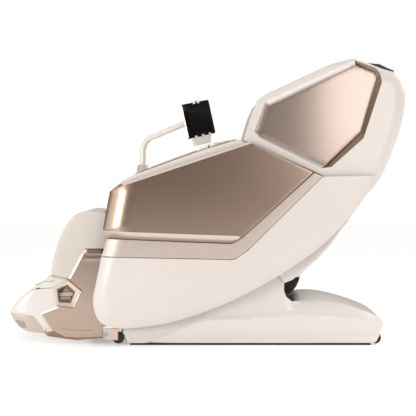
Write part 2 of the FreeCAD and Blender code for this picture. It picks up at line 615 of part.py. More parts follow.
def build_tablet():
    place = tablet_placement()
    half = dim("tablet_thick") / 2
    wide, tall = dim("tablet_wide") / 2, dim("tablet_tall") / 2
    slate = Part.makeBox(2 * wide, 2 * tall, 2 * half, Vector(-wide, -tall, -half))
    slate = slate.makeFillet(9, [edge for edge in slate.Edges if abs(edge.tangentAt(0).z) > 0.9])
    tablet_feature("tablet", slate)
    back = -half - dim("clamp_thick")
    rear = -half - 0.5
    plate = flat_plate([(-24, -84), (24, -84), (24, 60), (-24, 60)], back, rear)
    fan = flat_plate([(-74, -tall - 1), (-58, -tall - 38), (58, -tall - 38), (74, -tall - 1)], back, half)
    hooks = [flat_plate([(x - 8, -tall - 4), (x + 8, -tall - 4), (x + 8, -tall + 8), (x - 8, -tall + 8)],
                        half + 0.5, half + 4) for x in (-62, 0, 62)]
    webs = [flat_plate([(x - 8, -tall - 4), (x + 8, -tall - 4), (x + 8, -tall - 1), (x - 8, -tall - 1)],
                       half - 1, half + 4) for x in (-62, 0, 62)]
    neck = Part.makeCylinder(9, dim("ball_back") - dim("ball_radius") + back - 1,
                             Vector(0, 0, -dim("ball_back") + dim("ball_radius") + 1))
    tablet_feature("tablet_clamp", plate.fuse([fan, neck] + hooks + webs).removeSplitter())
    stem = flat_plate([(-14, 64), (14, 64), (14, tall + 5), (-14, tall + 5)], back + 1, rear)
    cap = flat_plate([(-26, tall + 1), (26, tall + 1), (26, tall + 8), (-26, tall + 8)], back + 1, half + 4)
    grip = [flat_plate([(x - 8, tall - 8), (x + 8, tall - 8), (x + 8, tall + 3), (x - 8, tall + 3)],
                       half + 0.5, half + 4) for x in (-18, 18)]
    tablet_feature("tablet_top_jaw", stem.fuse([cap] + grip).removeSplitter())
    foot = Vector(dim("post_x"), dim("post_y"), dim("post_foot") - dim("post_sunk"))
    corner = Vector(dim("post_x"), dim("post_y"), dim("post_bend"))
    ball = place.multVec(Vector(0, 0, -dim("ball_back")))
    rise = (ball - corner).normalize()
    reach = dim("bend_radius") * math.tan(Vector(0, 0, 1).getAngle(rise) / 2)
    start, end = corner - Vector(0, 0, reach), corner + rise * reach
    inward = (rise - Vector(0, 0, 1)).normalize()
    half_turn = Vector(0, 0, 1).getAngle(rise) / 2
    nearest = corner + inward * (dim("bend_radius") / math.cos(half_turn) - dim("bend_radius"))
    spine = Part.Wire([Part.LineSegment(foot, start).toShape(), Part.Arc(start, nearest, end).toShape(),
                       Part.LineSegment(end, ball).toShape()])
    section = Part.Wire(Part.Circle(foot, Vector(0, 0, 1), dim("post_radius")).toShape())
    tube = spine.makePipeShell([section], True, False)
    post = doc.addObject("Part::Feature", "post_shape")
    post.Shape = tube.fuse(Part.makeSphere(dim("ball_radius"), ball)).removeSplitter()
    keep(post, "tablet_arm")
    print("tablet ball at", [round(value, 1) for value in ball], "width axis",
          [round(value, 4) for value in place.Rotation.multVec(Vector(1, 0, 0))], "height axis",
          [round(value, 4) for value in place.Rotation.multVec(Vector(0, 1, 0))])


def write_parts():
    doc.recompute()
    for feature in doc.Objects:
        if "Invalid" in feature.State or "Error" in feature.State:
            raise RuntimeError(f"{feature.Name} ({feature.Label}) is {feature.State}")
    os.makedirs("parts", exist_ok=True)
    for feature in subparts:
        shape = feature.Shape
        if shape.isNull() or not shape.isValid() or not shape.Solids:
            raise RuntimeError(f"{feature.Label} has no valid solid")
        shape.exportStep(f"parts/{feature.Label}.step")
    print(len(subparts), "sub-parts written")


build_base()
wheel_pair("front_wheels", "dims.front_wheel_y")
wheel_pair("rear_wheels", "dims.rear_wheel_y")
build_carriage()
build_seat_frame()
for side_word, side_sign in BOTH:
    build_side(side_word, side_sign)
build_arm_fittings()
build_backrest()
build_massage_unit()
build_leg_rest()
build_foot_rest()
build_tablet()
write_parts()
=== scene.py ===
import json
import math

import bmesh
import bpy
import numpy as np
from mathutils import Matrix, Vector, geometry


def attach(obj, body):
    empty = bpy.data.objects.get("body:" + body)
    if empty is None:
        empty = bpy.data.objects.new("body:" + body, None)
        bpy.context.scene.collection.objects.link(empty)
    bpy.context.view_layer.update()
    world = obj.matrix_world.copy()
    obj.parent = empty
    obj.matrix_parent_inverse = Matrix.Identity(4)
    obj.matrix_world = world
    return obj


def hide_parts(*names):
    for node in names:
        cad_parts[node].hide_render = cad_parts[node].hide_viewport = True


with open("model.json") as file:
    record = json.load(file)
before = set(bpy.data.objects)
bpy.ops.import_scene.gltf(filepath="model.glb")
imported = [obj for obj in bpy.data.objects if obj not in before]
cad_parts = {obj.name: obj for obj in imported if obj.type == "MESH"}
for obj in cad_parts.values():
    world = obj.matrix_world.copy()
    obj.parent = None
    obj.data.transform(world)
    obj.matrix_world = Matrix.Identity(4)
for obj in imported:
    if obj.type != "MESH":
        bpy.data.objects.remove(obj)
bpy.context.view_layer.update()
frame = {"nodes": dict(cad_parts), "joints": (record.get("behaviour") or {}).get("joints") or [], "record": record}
scene = bpy.context.scene
scene.view_settings.view_transform = "Standard"
MM = 0.001
SIDES = (("left", 1), ("right", -1))
# The chair is seen from its side: an outline or line is a list of (along, up) in mm, along from the feet
# to the head, and a third number is the radius of that corner. Widths are in metres from the middle plane.


# ------------------------------------------------------------------ materials

def linear(red, green, blue):
    """A display colour, 0 to 255, as the linear colour that shaders use."""
    values = [channel / 255 for channel in (red, green, blue)]
    return [v / 12.92 if v <= 0.04045 else ((v + 0.055) / 1.055) ** 2.4 for v in values] + [1.0]


def add_node(tree, kind, inputs=None, **values):
    """A shader node with its settings, and its inputs set or joined to other nodes' outputs."""
    node = tree.nodes.new(kind)
    for key, value in values.items():
        setattr(node, key, value)
    for key, value in (inputs or {}).items():
        if isinstance(value, bpy.types.NodeSocket):
            tree.links.new(value, node.inputs[key])
        else:
            node.inputs[key].default_value = value
    return node


class Nodes:
    """A material, and short ways to add the nodes that surfaces need."""

    def __init__(self, name):
        self.material = bpy.data.materials.new(name)
        self.material.use_nodes = True
        self.tree = self.material.node_tree
        self.shader = self.tree.nodes["Principled BSDF"]
        self.place = self.add("ShaderNodeTexCoord").outputs["Object"]

    def add(self, kind, inputs=None, **values):
        return add_node(self.tree, kind, inputs, **values)

    def noise(self, scale, detail=3.0, stretch=(1, 1, 1), rough=0.5):
        spot = self.add("ShaderNodeMapping", {"Vector": self.place, "Scale": stretch}).outputs[0]
        return self.add("ShaderNodeTexNoise",
                        {"Vector": spot, "Scale": scale, "Detail": detail, "Roughness": rough}).outputs["Fac"]

    def cells(self, scale):
        """Distance to the nearest border between cells."""
        return self.add("ShaderNodeTexVoronoi", {"Vector": self.place, "Scale": scale},
                        feature="DISTANCE_TO_EDGE").outputs["Distance"]

    def band(self, value, low, high, out_low, out_high):
        """The value, mapped from one range to another."""
        return self.add("ShaderNodeMapRange", {"Value": value, "From Min": low, "From Max": high,
                                               "To Min": out_low, "To Max": out_high}).outputs["Result"]

    def tint(self, colour, value, amount, warm=1.0):
        """The colour, varied by value from darker to lighter by amount."""
        dark = [c * (1 - amount) for c in colour[:3]] + [1]
        light = [min(1, c * (1 + amount) * w) for c, w in zip(colour[:3], (warm, 1, 1 / warm))] + [1]
        return self.paint({"Factor": value, 6: dark, 7: light})

    def paint(self, inputs, **values):
        """A colour mix, joined to the shader's colour."""
        mixed = self.add("ShaderNodeMix", inputs, data_type="RGBA", **values).outputs[2]
        self.tree.links.new(mixed, self.shader.inputs["Base Color"])
        return mixed

    def bump(self, value, strength, depth, after=None):
        node = self.add("ShaderNodeBump", {"Height": value, "Strength": strength, "Distance": depth})
        if after is not None:
            self.tree.links.new(after, node.inputs["Normal"])
        return node.outputs["Normal"]

    def done(self, normal=None, rough=None, **values):
        if normal is not None:
            self.tree.links.new(normal, self.shader.inputs["Normal"])
        if rough is not None:
            self.tree.links.new(rough, self.shader.inputs["Roughness"])
        for key, value in values.items():
            self.shader.inputs[key.replace("_", " ")].default_value = value
        return self.material


def moulded(name, colour, rough=0.3, coat=0.25, grain=900, depth=0.00006, vary=0.015):
    """Moulded plastic: slight colour drift, a fine texture, and soft waves."""
    n = Nodes(name)
    n.tint(colour, n.noise(3.1, 2), vary, 1.006)
    fine = n.noise(grain, 2)
    wide = n.noise(14, 1)
    return n.done(n.bump(wide, 0.02, 0.001, n.bump(fine, 0.12, depth)),
                  Roughness=rough, Coat_Weight=coat, Coat_Roughness=0.12)


def lacquer(name, colour, rough=0.3, metal=0.85, vary=0.02, coat=0.9, painted_shade=None):
    """Metallic lacquer: a faint orange peel, a slight drift of tone, and a clear coat. Given (low, high,
    share), painted shade darkens the colour between these heights to that share of itself, darker above."""
    n = Nodes(name)
    peel = n.noise(240, 1)
    tone = n.tint(colour, n.noise(2.4, 1), vary, 1.01)
    # painted shade: the colour darkens upward between the two heights
    if painted_shade:
        low, high, share = painted_shade
        up = n.add("ShaderNodeSeparateXYZ", {"Vector": n.place}).outputs["Z"]
        n.paint({"Factor": n.band(up, low, high, 0, 1), 6: tone, 7: (share, share, share, 1)},
                blend_type="MULTIPLY")
    wide = n.noise(20, 2)
    return n.done(n.bump(wide, 0.01, 0.001, n.bump(peel, 0.02, 0.0002)),
                  Roughness=rough, Metallic=metal, Coat_Weight=coat, Coat_Roughness=0.18)


def leather(name, colour):
    """Soft grained leather: pebbles, creases between them, and a faint sheen."""
    n = Nodes(name)
    pebbles = n.cells(420)
    small = n.cells(900)
    creases = n.noise(38, 6, rough=0.62)
    n.tint(colour, n.noise(7, 4), 0.035, 1.01)
    grain = n.bump(small, 0.3, 0.00025, n.bump(pebbles, 0.55, 0.0006))
    return n.done(n.bump(creases, 0.35, 0.0018, grain),
                  n.band(pebbles, 0.0, 0.35, 0.62, 0.44), Sheen_Weight=0.12, Sheen_Roughness=0.4,
                  Specular_IOR_Level=0.45)


def rubber(name, colour):
    """Matt rubber: a fine, uneven grain."""
    n = Nodes(name)
    n.tint(colour, n.noise(30, 4), 0.2)
    return n.done(n.bump(n.noise(1400, 3), 0.4, 0.0003), n.band(n.noise(60, 3), 0.3, 0.7, 0.62, 0.85))


def steel(name, colour, stretch=(40, 1, 1), rough=0.3):
    """Ground steel: fine lines along one way."""
    n = Nodes(name)
    lines = n.noise(60, 4, stretch)
    n.tint(colour, lines, 0.12)
    return n.done(n.bump(lines, 0.2, 0.0002), n.band(lines, 0.3, 0.7, rough * 0.7, rough * 1.3),
                  Metallic=1.0)


def powder(name, colour, rough=0.45, metal=0.2):
    """Powder coat: a fine orange-peel surface."""
    n = Nodes(name)
    peel = n.noise(700, 2)
    n.tint(colour, n.noise(11, 3), 0.05)
    return n.done(n.bump(peel, 0.12, 0.0001), n.band(peel, 0.3, 0.7, rough * 0.9, rough * 1.1),
                  Metallic=metal)


def glass_black(name):
    """The dark glass of a screen that is off."""
    n = Nodes(name)
    n.tint(linear(6, 6, 7), n.noise(6, 2), 0.3)
    return n.done(n.bump(n.noise(500, 2), 0.02, 0.0001), n.band(n.noise(18, 4), 0.3, 0.7, 0.08, 0.16),
                  Coat_Weight=0.0, Specular_IOR_Level=0.05)


def woven(name, colour):
    """Dark woven mesh: two sets of fine threads."""
    n = Nodes(name)
    one, two = (n.add("ShaderNodeTexWave", {"Vector": n.place, "Scale": 260.0, "Distortion": 0.4},
                      bands_direction=way).outputs["Fac"] for way in "YZ")
    n.tint(colour, one, 0.35)
    return n.done(n.bump(one, 0.5, 0.0008, n.bump(two, 0.5, 0.0008)), n.band(two, 0, 1, 0.7, 0.9))


CREAM = linear(209, 200, 193)
WHITE = linear(213, 206, 200)
M = {
    "cream_shell": moulded("cream_shell", CREAM, 0.34, 0.2),
    "base_white": moulded("base_white", WHITE, 0.28, 0.35),
    "bronze_panel": lacquer("bronze_panel", linear(144, 121, 105), 0.27, 0.97),
    "pod_panel": lacquer("pod_panel", linear(157, 138, 127), 0.25, 0.78),
    "leg_edge": lacquer("leg_edge", linear(208, 188, 174), 0.5, 0.1, coat=0.1),
    "sole_cream": moulded("sole_cream", linear(184, 171, 159), 0.36, 0.15),
    "champagne_trim": lacquer("champagne_trim", linear(186, 171, 160), 0.36, 0.3, coat=0.25),
    # painted shade: the leg bronze darkens towards the top of the panel
    "leg_bronze": lacquer("leg_bronze", linear(186, 163, 146), 0.27, 0.85, painted_shade=(0.17, 0.42, 0.66)),
    "pale_bronze": lacquer("pale_bronze", linear(205, 189, 178), 0.3, 0.5),
    # dark_bronze also serves as painted shade: the front of the arm panels' upper facet, the rear walls of the pod
    # recesses and the crease line on the leg panels
    "dark_bronze": lacquer("dark_bronze", linear(134, 108, 86), 0.4, 0.7),
    "cream_leather": leather("cream_leather", linear(200, 191, 182)),
    "piping": leather("piping", linear(214, 203, 192)),
    "frame_steel": powder("frame_steel", linear(52, 51, 52)),
    "bright_steel": steel("bright_steel", linear(196, 196, 196)),
    "black_rubber": rubber("black_rubber", linear(28, 27, 27)),
    "black_plastic": moulded("black_plastic", linear(38, 37, 38), 0.5, 0.05, 1200, 0.0002, 0.1),
    # pale_plastic also serves as painted highlight: the upper walls of the pod recesses, the chamfers of the leg
    # panels and the right edge of the badges
    "pale_plastic": moulded("pale_plastic", linear(240, 235, 229), 0.3, 0.3),
    "post_paint": powder("post_paint", linear(236, 227, 218), 0.32, 0.1),
    "collar_bronze": lacquer("collar_bronze", linear(212, 192, 176), 0.34, 0.6),
    "silver": steel("silver", linear(205, 203, 200), (1, 1, 30), 0.35),
    "grille_dark": moulded("grille_dark", linear(52, 42, 38), 0.5, 0.1, 1500, 0.0002, 0.15),
    "screen_glass": glass_black("screen_glass"),
    "roller_plastic": moulded("roller_plastic", linear(96, 88, 82), 0.45, 0.1, 1200, 0.0002, 0.05),
    "window_grey": moulded("window_grey", linear(150, 136, 124), 0.3, 0.4, 900, 0.0001, 0.06),
    "gaiter": woven("gaiter", linear(58, 46, 34)),
}


# ------------------------------------------------------------------ geometry helpers

def outline(corners, step=0.010):
    """A closed outline in metres from corners (along, up[, radius]) in mm; one with no radius is eased."""
    points = [Vector(corner[:2]) * MM for corner in corners]
    count, made = len(points), []
    for i, corner in enumerate(corners):
        here = points[i]
        back, on = points[i - 1] - here, points[(i + 1) % count] - here
        turn = math.pi - back.angle(on)
        reach = 0.46 * min(back.length, on.length)
        if len(corner) > 2:
            reach = min(reach, corner[2] * MM * math.tan(turn / 2))
        if turn < 0.02 or reach < 0.0002:
            made.append(here)
            continue
        start, end = here + back.normalized() * reach, here + on.normalized() * reach
        pieces = max(2, round(turn / 0.16))
        for k in range(pieces + 1):
            t = k / pieces
            made.append(start * (1 - t) ** 2 + here * (2 * t * (1 - t)) + end * t * t)
    out = []
    for i, a in enumerate(made):
        b = made[(i + 1) % len(made)]
        length = (b - a).length
        if length < 1e-5:
            continue
        parts = max(1, math.ceil(length / step))
        out += [a.lerp(b, k / parts) for k in range(parts)]
    loop = np.array([tuple(p) for p in out])
    area = np.sum(loop[:, 0] * np.roll(loop[:, 1], -1) - loop[:, 1] * np.roll(loop[:, 0], -1))
    return loop if area > 0 else loop[::-1]


def path(corners, step=0.010):
    """An open line in metres through corners in mm, divided evenly."""
    out = []
    for a, b in zip(corners, corners[1:]):
        a, b = Vector(a[:2]) * MM, Vector(b[:2]) * MM
        parts = max(1, math.ceil((b - a).length / step))
        out += [tuple(a.lerp(b, k / parts)) for k in range(parts)]
    out.append(tuple(v * MM for v in corners[-1][:2]))
    return np.array(out)


def loop_of(line):
    """A closed outline as a line that ends where it starts."""
    return np.vstack([line, line[:1]])


def eased(corners, count=90):
    """An open line in metres through corners in mm, its corners cut twice and its points spread evenly."""
    points = np.array(corners, float) * MM
    for _ in range(2):
        cut = [points[0]]
        for a, b in zip(points, points[1:]):
            cut += [a * 0.75 + b * 0.25, a * 0.25 + b * 0.75]
        points = np.array(cut + [points[-1]])
    run = np.concatenate([[0], np.cumsum(np.linalg.norm(np.diff(points, axis=0), axis=1))])
    at = np.linspace(0, run[-1], count)
    return np.column_stack([np.interp(at, run, points[:, 0]), np.interp(at, run, points[:, 1])])


def along_line(line):
    """A function that gives the point and the direction at a share of an open line, and its length."""
    points = [Vector(p) * MM for p in line]
    lengths = [0.0]
    for a, b in zip(points, points[1:]):
        lengths.append(lengths[-1] + (b - a).length)

    def spot(far):
        return np.array([np.interp(far, lengths, [p[k] for p in points]) for k in (0, 1)])

    def at(share):
        far = share * lengths[-1]
        return Vector(spot(far)), Vector(spot(far + 0.01) - spot(far - 0.01)).normalized()

    return at, lengths[-1]


def distance(points, line):
    """Distance from each point to an open line."""
    a, b = line[:-1], line[1:]
    run = b - a
    square = np.maximum((run ** 2).sum(1), 1e-14)
    best = np.full(len(points), 1e9)
    for start in range(0, len(points), 2000):
        part = points[start:start + 2000]
        t = np.clip(((part[:, None] - a) * run).sum(2) / square, 0, 1)
        away = part[:, None] - (a + t[..., None] * run)
        best[start:start + 2000] = np.sqrt((away ** 2).sum(2)).min(1)
    return best


def inside(points, loop):
    """Which points lie within a closed outline."""
    x, y = points[:, 0][:, None], points[:, 1][:, None]
    ax, ay = loop[:, 0], loop[:, 1]
    bx, by = np.roll(ax, -1), np.roll(ay, -1)
    crosses = (ay > y) != (by > y)
    with np.errstate(divide="ignore", invalid="ignore"):
        at = ax + (y - ay) * (bx - ax) / (by - ay)
    return (crosses & (x < at)).sum(1) % 2 == 1


def drop(away, width, radius):
    """How far a surface falls at a distance from its edge, for a roll that begins at width."""
    d = np.clip(width - away, 0, width)
    return radius - np.sqrt(np.maximum(radius ** 2 - d ** 2, 0))


def smooth(value, low, high):
    """0 below low, 1 above high, and an even curve between."""
    t = np.clip((value - low) / (high - low), 0, 1)
    return t * t * (3 - 2 * t)


def new_object(name, vertices, faces, materials, indices=None, sharp=35):
    """A mesh object, with the faces painted by index into its materials."""
    mesh = bpy.data.meshes.new(name)
    mesh.from_pydata([tuple(v) for v in vertices], [], faces)
    mesh.validate()
    for material in materials:
        mesh.materials.append(M[material])
    if indices is not None:
        mesh.polygons.foreach_set("material_index", np.array(indices, np.int32))
    obj = bpy.data.objects.new(name, mesh)
    scene.collection.objects.link(obj)
    finish_mesh(obj, sharp)
    return obj


def finish_mesh(obj, sharp=35):
    """Outward normals, smooth faces, and sharp edges above an angle."""
    mesh = obj.data
    bm = bmesh.new()
    bm.from_mesh(mesh)
    bmesh.ops.remove_doubles(bm, verts=bm.verts, dist=1e-6)
    bmesh.ops.recalc_face_normals(bm, faces=bm.faces)
    bm.to_mesh(mesh)
    bm.free()
    mesh.polygons.foreach_set("use_smooth", [True] * len(mesh.polygons))
    mesh.set_sharp_from_angle(angle=math.radians(sharp))


def mount(obj, body, nodes=()):
    """Rides obj on its body, and hides the CAD nodes that it stands for."""
    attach(obj, body)
    if nodes:
        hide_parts(*nodes)
    return obj


def weighted(obj):
    """Normals that follow the large faces."""
    modifier = obj.modifiers.new("normals", "WEIGHTED_NORMAL")
    modifier.keep_sharp = True
    return obj


def rim_rings(rims, edge):
    """Rows of points beside each rim line, spaced as the roll turns."""
    rings = []
    for line, width, _ in rims:
        way = np.gradient(line, axis=0)
        way /= np.maximum(np.linalg.norm(way, axis=1), 1e-9)[:, None]
        for turn in (18, 36, 54, 72, 90):
            away = width * (1 - math.cos(math.radians(turn)))
            for sign in (1, -1):
                ring = line + sign * away * np.stack([-way[:, 1], way[:, 0]], 1)
                ring = ring[inside(ring, edge)]
                if len(ring):
                    rings += [*ring[distance(ring, line) > 0.96 * away]]
    return rings


def fill_grid(edge, known, lines, step):
    """A grid of points inside an edge, clear of the known points and the lines."""
    low, high = edge.min(0), edge.max(0)
    rows = np.arange(low[1], high[1], step * 0.87)
    grid = np.array([(x + (k % 2) * step / 2, y) for k, y in enumerate(rows)
                     for x in np.arange(low[0], high[0], step)])
    grid = grid[inside(grid, edge)]
    near = np.full(len(grid), 1e9)
    for start in range(0, len(grid), 1000):
        gap = grid[start:start + 1000, None] - known[None]
        near[start:start + 1000] = np.sqrt((gap ** 2).sum(2)).min(1)
    grid = grid[(near > 0.55 * step) & (distance(grid, loop_of(edge)) > 0.5 * step)]
    for line in lines:
        grid = grid[distance(grid, line) > 0.4 * step]
    return grid


def triangles(spots, bonds, edge):
    """Points and triangles, all wound one way, that fill an edge and keep the bonds between points."""
    flat, _, faces, *_ = geometry.delaunay_2d_cdt([Vector(p) for p in spots], bonds, [], 0, 1e-6)
    flat = np.array([tuple(v) for v in flat])
    faces = np.array([tuple(f) for f in faces])
    faces = faces[inside(flat[faces].mean(1), edge)]
    a, b, c = (flat[faces[:, k]] for k in range(3))
    area = (b[:, 0] - a[:, 0]) * (c[:, 1] - a[:, 1]) - (b[:, 1] - a[:, 1]) * (c[:, 0] - a[:, 0])
    good = np.abs(area) > 1e-11
    faces, area = faces[good], area[good]
    faces[area < 0] = faces[area < 0][:, ::-1]
    return flat, faces


def relief(name, edge, height, back, materials, rims=(), lines=(), paint=None, step=0.014, side=1,
           back_rim=0.003, sharp=30):
    """A closed plate seen from the side. height and back give its outer and inner distance from the middle
    plane at each point; rims are (line, width, radius) along which the outer face rolls over; lines are
    creases that the mesh follows; paint gives the material of each outer face from its middle."""
    fixed, bonds = [*edge], [(i, (i + 1) % len(edge)) for i in range(len(edge))]
    for line in lines:
        bonds += [(len(fixed) + i, len(fixed) + i + 1) for i in range(len(line) - 1)]
        fixed += [*line]
    known = np.array(fixed + rim_rings(rims, edge))
    flat, faces = triangles([*known, *fill_grid(edge, known, lines, step)], bonds, edge)
    outer = height(flat)
    for line, width, radius in rims:
        outer = outer - drop(distance(flat, line), width, radius)
    inner = back(flat) + drop(distance(flat, loop_of(edge)), back_rim, back_rim)
    inner = np.minimum(inner, outer - 0.0005)
    vertices = np.vstack([np.column_stack([side * outer, flat]), np.column_stack([side * inner, flat])])
    edges = dict.fromkeys((f[i], f[(i + 1) % 3]) for f in faces for i in range(3))
    rim_edges = [e for e in edges if (e[1], e[0]) not in edges]
    count = len(flat)
    polygons = [tuple(int(v) for v in f) for f in faces]
    polygons += [tuple(int(v) + count for v in f[::-1]) for f in faces]
    polygons += [(int(i), int(i) + count, int(j) + count, int(j)) for i, j in rim_edges]
    indices = None
    if paint is not None:
        indices = [*paint(flat[faces].mean(1)), *[0] * (len(faces) + len(rim_edges))]
    return new_object(name, vertices, polygons, materials, indices, sharp)


def level(value):
    """A flat face at one distance from the middle plane."""
    return lambda points: np.full(len(points), float(value))


def prism(name, corners, near, far, materials, rim=0.006, step=0.02, side=1):
    """An outline given a width across the chair, with both rims rounded."""
    edge = outline(corners)
    return relief(name, edge, level(far), level(near), materials, [(loop_of(edge), rim, rim)], step=step,
                  side=side, back_rim=rim, sharp=40)


def block(name, body, slot, corners, near, far, rim, nodes=(), fill=None, **options):
    """A prism in the finish of its slot, mounted on its body."""
    return mount(prism(name, corners, near, far, [slot], rim, **options), body, nodes)


def closed_sheet(name, outer, inner, columns, material, sharp=35):
    """A closed skin between two grids of points, each given row by row."""
    wide, count, faces = columns + 1, len(outer), []
    rows = count // wide - 1
    for i in range(rows):
        for j in range(columns):
            a = i * wide + j
            square = (a, a + wide, a + wide + 1, a + 1)
            faces += [square, tuple(count + v for v in square[::-1])]
    ring = [i * wide for i in range(rows)] + [rows * wide + j for j in range(columns)]
    ring += [i * wide + columns for i in range(rows, 0, -1)] + [j for j in range(columns, 0, -1)]
    faces += [(a, a + count, b + count, b) for a, b in zip(ring, ring[1:] + ring[:1])]
    return new_object(name, outer + inner, faces, [material], sharp=sharp)


def lathe(name, profile, centre, axis, materials, turns=64, marks=None):
    """Turns a profile of (along, radius) in mm about an axis through a point in metres. marks give the
    material of each stretch of the profile."""
    direction = Vector(axis).normalized()
    side_way = direction.orthogonal().normalized()
    other = direction.cross(side_way)
    vertices, faces, rows = [], [], len(profile)
    for k in range(turns):
        a = 2 * math.pi * k / turns
        out = side_way * math.cos(a) + other * math.sin(a)
        vertices += [Vector(centre) + direction * (s * MM) + out * (r * MM) for s, r in profile]
        here, there = k * rows, ((k + 1) % turns) * rows
        faces += [(here + i, here + i + 1, there + i + 1, there + i) for i in range(rows - 1)]
    return new_object(name, vertices, faces, materials, (marks or [0] * (rows - 1)) * turns, 30)


def tube(name, points, radius, material):
    """A round tube along points in metres, smooth between them."""
    curve = bpy.data.curves.new(name, "CURVE")
    curve.dimensions = "3D"
    curve.bevel_depth = radius
    curve.bevel_resolution = 4
    curve.resolution_u = 10
    curve.use_fill_caps = True
    spline = curve.splines.new("NURBS")
    spline.points.add(len(points) - 1)
    for spot, p in zip(spline.points, points):
        spot.co = (*p, 1)
    spline.order_u = 3
    spline.use_endpoint_u = True
    holder = bpy.data.objects.new(name + "_line", curve)
    scene.collection.objects.link(holder)
    mesh = bpy.data.meshes.new_from_object(holder)
    bpy.data.objects.remove(holder)
    mesh.materials.clear()
    mesh.materials.append(M[material])
    obj = bpy.data.objects.new(name, mesh)
    scene.collection.objects.link(obj)
    finish_mesh(obj, 50)
    return obj


def join(name, objects):
    """Joins objects into the first one."""
    bpy.ops.object.select_all(action="DESELECT")
    for obj in objects:
        obj.select_set(True)
    bpy.context.view_layer.objects.active = objects[0]
    bpy.ops.object.join()
    objects[0].name = name
    return objects[0]


def carve(obj, tools):
    """Cuts the tools out of obj, and removes them."""
    for tool in tools:
        modifier = obj.modifiers.new("cut", "BOOLEAN")
        modifier.operation = "DIFFERENCE"
        modifier.solver = "EXACT"
        modifier.object = tool
        bpy.context.view_layer.update()
        made = bpy.data.meshes.new_from_object(
            obj.evaluated_get(bpy.context.evaluated_depsgraph_get()))
        obj.modifiers.clear()
        obj.data = made
        bpy.data.objects.remove(tool)
    obj.data.set_sharp_from_angle(angle=math.radians(35))
    return obj


# ------------------------------------------------------------------ padded pieces

CLOTHS = []
SEAM_WIDTH = 0.008
CLOTH_FRAMES = 20


def pad(name, place, across, along, thick, seams_u=(), seams_v=(), cell=0.010, power=5.0, depth=0.007,
        swell=0.012, crown=0.0):
    """A cushion over a patch. place(u, v, w) puts a point across, along and above its base, in metres;
    seams are lines sewn down at a share of its width or length."""
    nu, nv = max(6, round(across / cell)), max(6, round(along / cell))
    us, vs = np.linspace(0, 1, nu + 1), np.linspace(0, 1, nv + 1)
    grid_u, grid_v = np.meshgrid(us, vs, indexing="ij")

    def round_off(t, size):
        edge = np.clip(np.minimum(t, 1 - t) * size / (thick * 0.55), 0, 1)
        return (1 - (1 - edge) ** 2.4) ** (1 / 2.4)

    rise = round_off(grid_u, across) * round_off(grid_v, along)
    rise = 0.12 + 0.88 * rise
    hump = crown * (1 - (2 * grid_u - 1) ** 2) * (1 - 0.5 * (2 * grid_v - 1) ** 2)
    groove = np.zeros_like(grid_u)
    for seams, grid, size in ((seams_u, grid_u, across), (seams_v, grid_v, along)):
        for seam in seams:
            groove = np.maximum(groove, np.exp(-((grid - seam) * size / SEAM_WIDTH) ** 2))
    top = rise * thick + hump - groove * depth
    spots = [(i, j) for i in range(nu + 1) for j in range(nv + 1)]
    upper = [place(us[i], vs[j], top[i, j]) for i, j in spots]
    lower = [place(us[i], vs[j], 0.0) for i, j in spots]
    obj = closed_sheet(name, upper, lower, nv, "cream_leather", 75)
    group = obj.vertex_groups.new(name="sewn")
    tops = {tuple(np.round(p, 6)): groove[spot] for p, spot in zip(upper, spots)}
    for v in obj.data.vertices:
        sewn = tops.get(tuple(np.round(v.co, 6)))
        if sewn is None:
            group.add([v.index], 1.0, "REPLACE")
        elif sewn > 0.45:
            group.add([v.index], float(min(1, sewn)), "REPLACE")
    CLOTHS.append((obj, power, swell))
    return obj


def inflate():
    """Swells every pad at once with Cloth, and keeps the result in its mesh."""
    for obj, power, _ in CLOTHS:
        modifier = obj.modifiers.new("cloth", "CLOTH")
        cloth = modifier.settings
        cloth.quality = 5
        cloth.mass = 0.3
        cloth.tension_stiffness = cloth.compression_stiffness = 12
        cloth.shear_stiffness = 6
        cloth.bending_stiffness = 0.6
        cloth.use_pressure = True
        cloth.uniform_pressure_force = power
        cloth.vertex_group_mass = "sewn"
        cloth.effector_weights.gravity = 0
        modifier.point_cache.frame_end = CLOTH_FRAMES
    for number in range(1, CLOTH_FRAMES + 1):
        scene.frame_set(number)
    graph = bpy.context.evaluated_depsgraph_get()
    for obj, _, swell in CLOTHS:
        done = obj.evaluated_get(graph).to_mesh()
        before = np.array([v.co for v in obj.data.vertices])
        after = np.array([v.co for v in done.vertices])
        move = after - before
        far = np.maximum(np.linalg.norm(move, axis=1), 1e-9)
        after = before + move * np.minimum(1, swell / far)[:, None]
        obj.evaluated_get(graph).to_mesh_clear()
        obj.modifiers.clear()
        obj.data.vertices.foreach_set("co", after.astype(np.float32).ravel())
        obj.data.update()
    scene.frame_set(1)


# ------------------------------------------------------------------ side shells, trims and arm panels

HULL = [(-447, 391), (-453, 356), (-471, 270), (-486, 205), (-477, 143), (-450, 96), (-386, 77), (-320, 77),
        (-173, 95), (-24, 139), (124, 198), (272, 276), (420, 369), (547, 468), (649, 593), (702, 668)]
WRAP = [(347, 273, 4), (380, 285, 20), (398, 299, 6), (405, 298, 3), (448, 338, 40), (498, 383, 60),
        (548, 438, 60), (598, 508, 60), (628, 543, 6), (622, 575, 6), (540, 492, 30), (410, 386, 30),
        (318, 332, 4), (322, 308, 8)]
FRONT_LINE = path([(-448, 380), (-424, 469), (-441, 507), (-409, 671)])
# distances of the outer faces from the middle plane
SHELL_FACE, TRIM_FACE, PANEL_FACE, ARM_FACE, POD_FACE = 0.3865, 0.3835, 0.391, 0.3655, 0.364


def shell_back(points):
    """The inner face of a side shell, which steps out beside the backrest."""
    return 0.315 + 0.056 * smooth(points[:, 1], 0.30, 0.42)


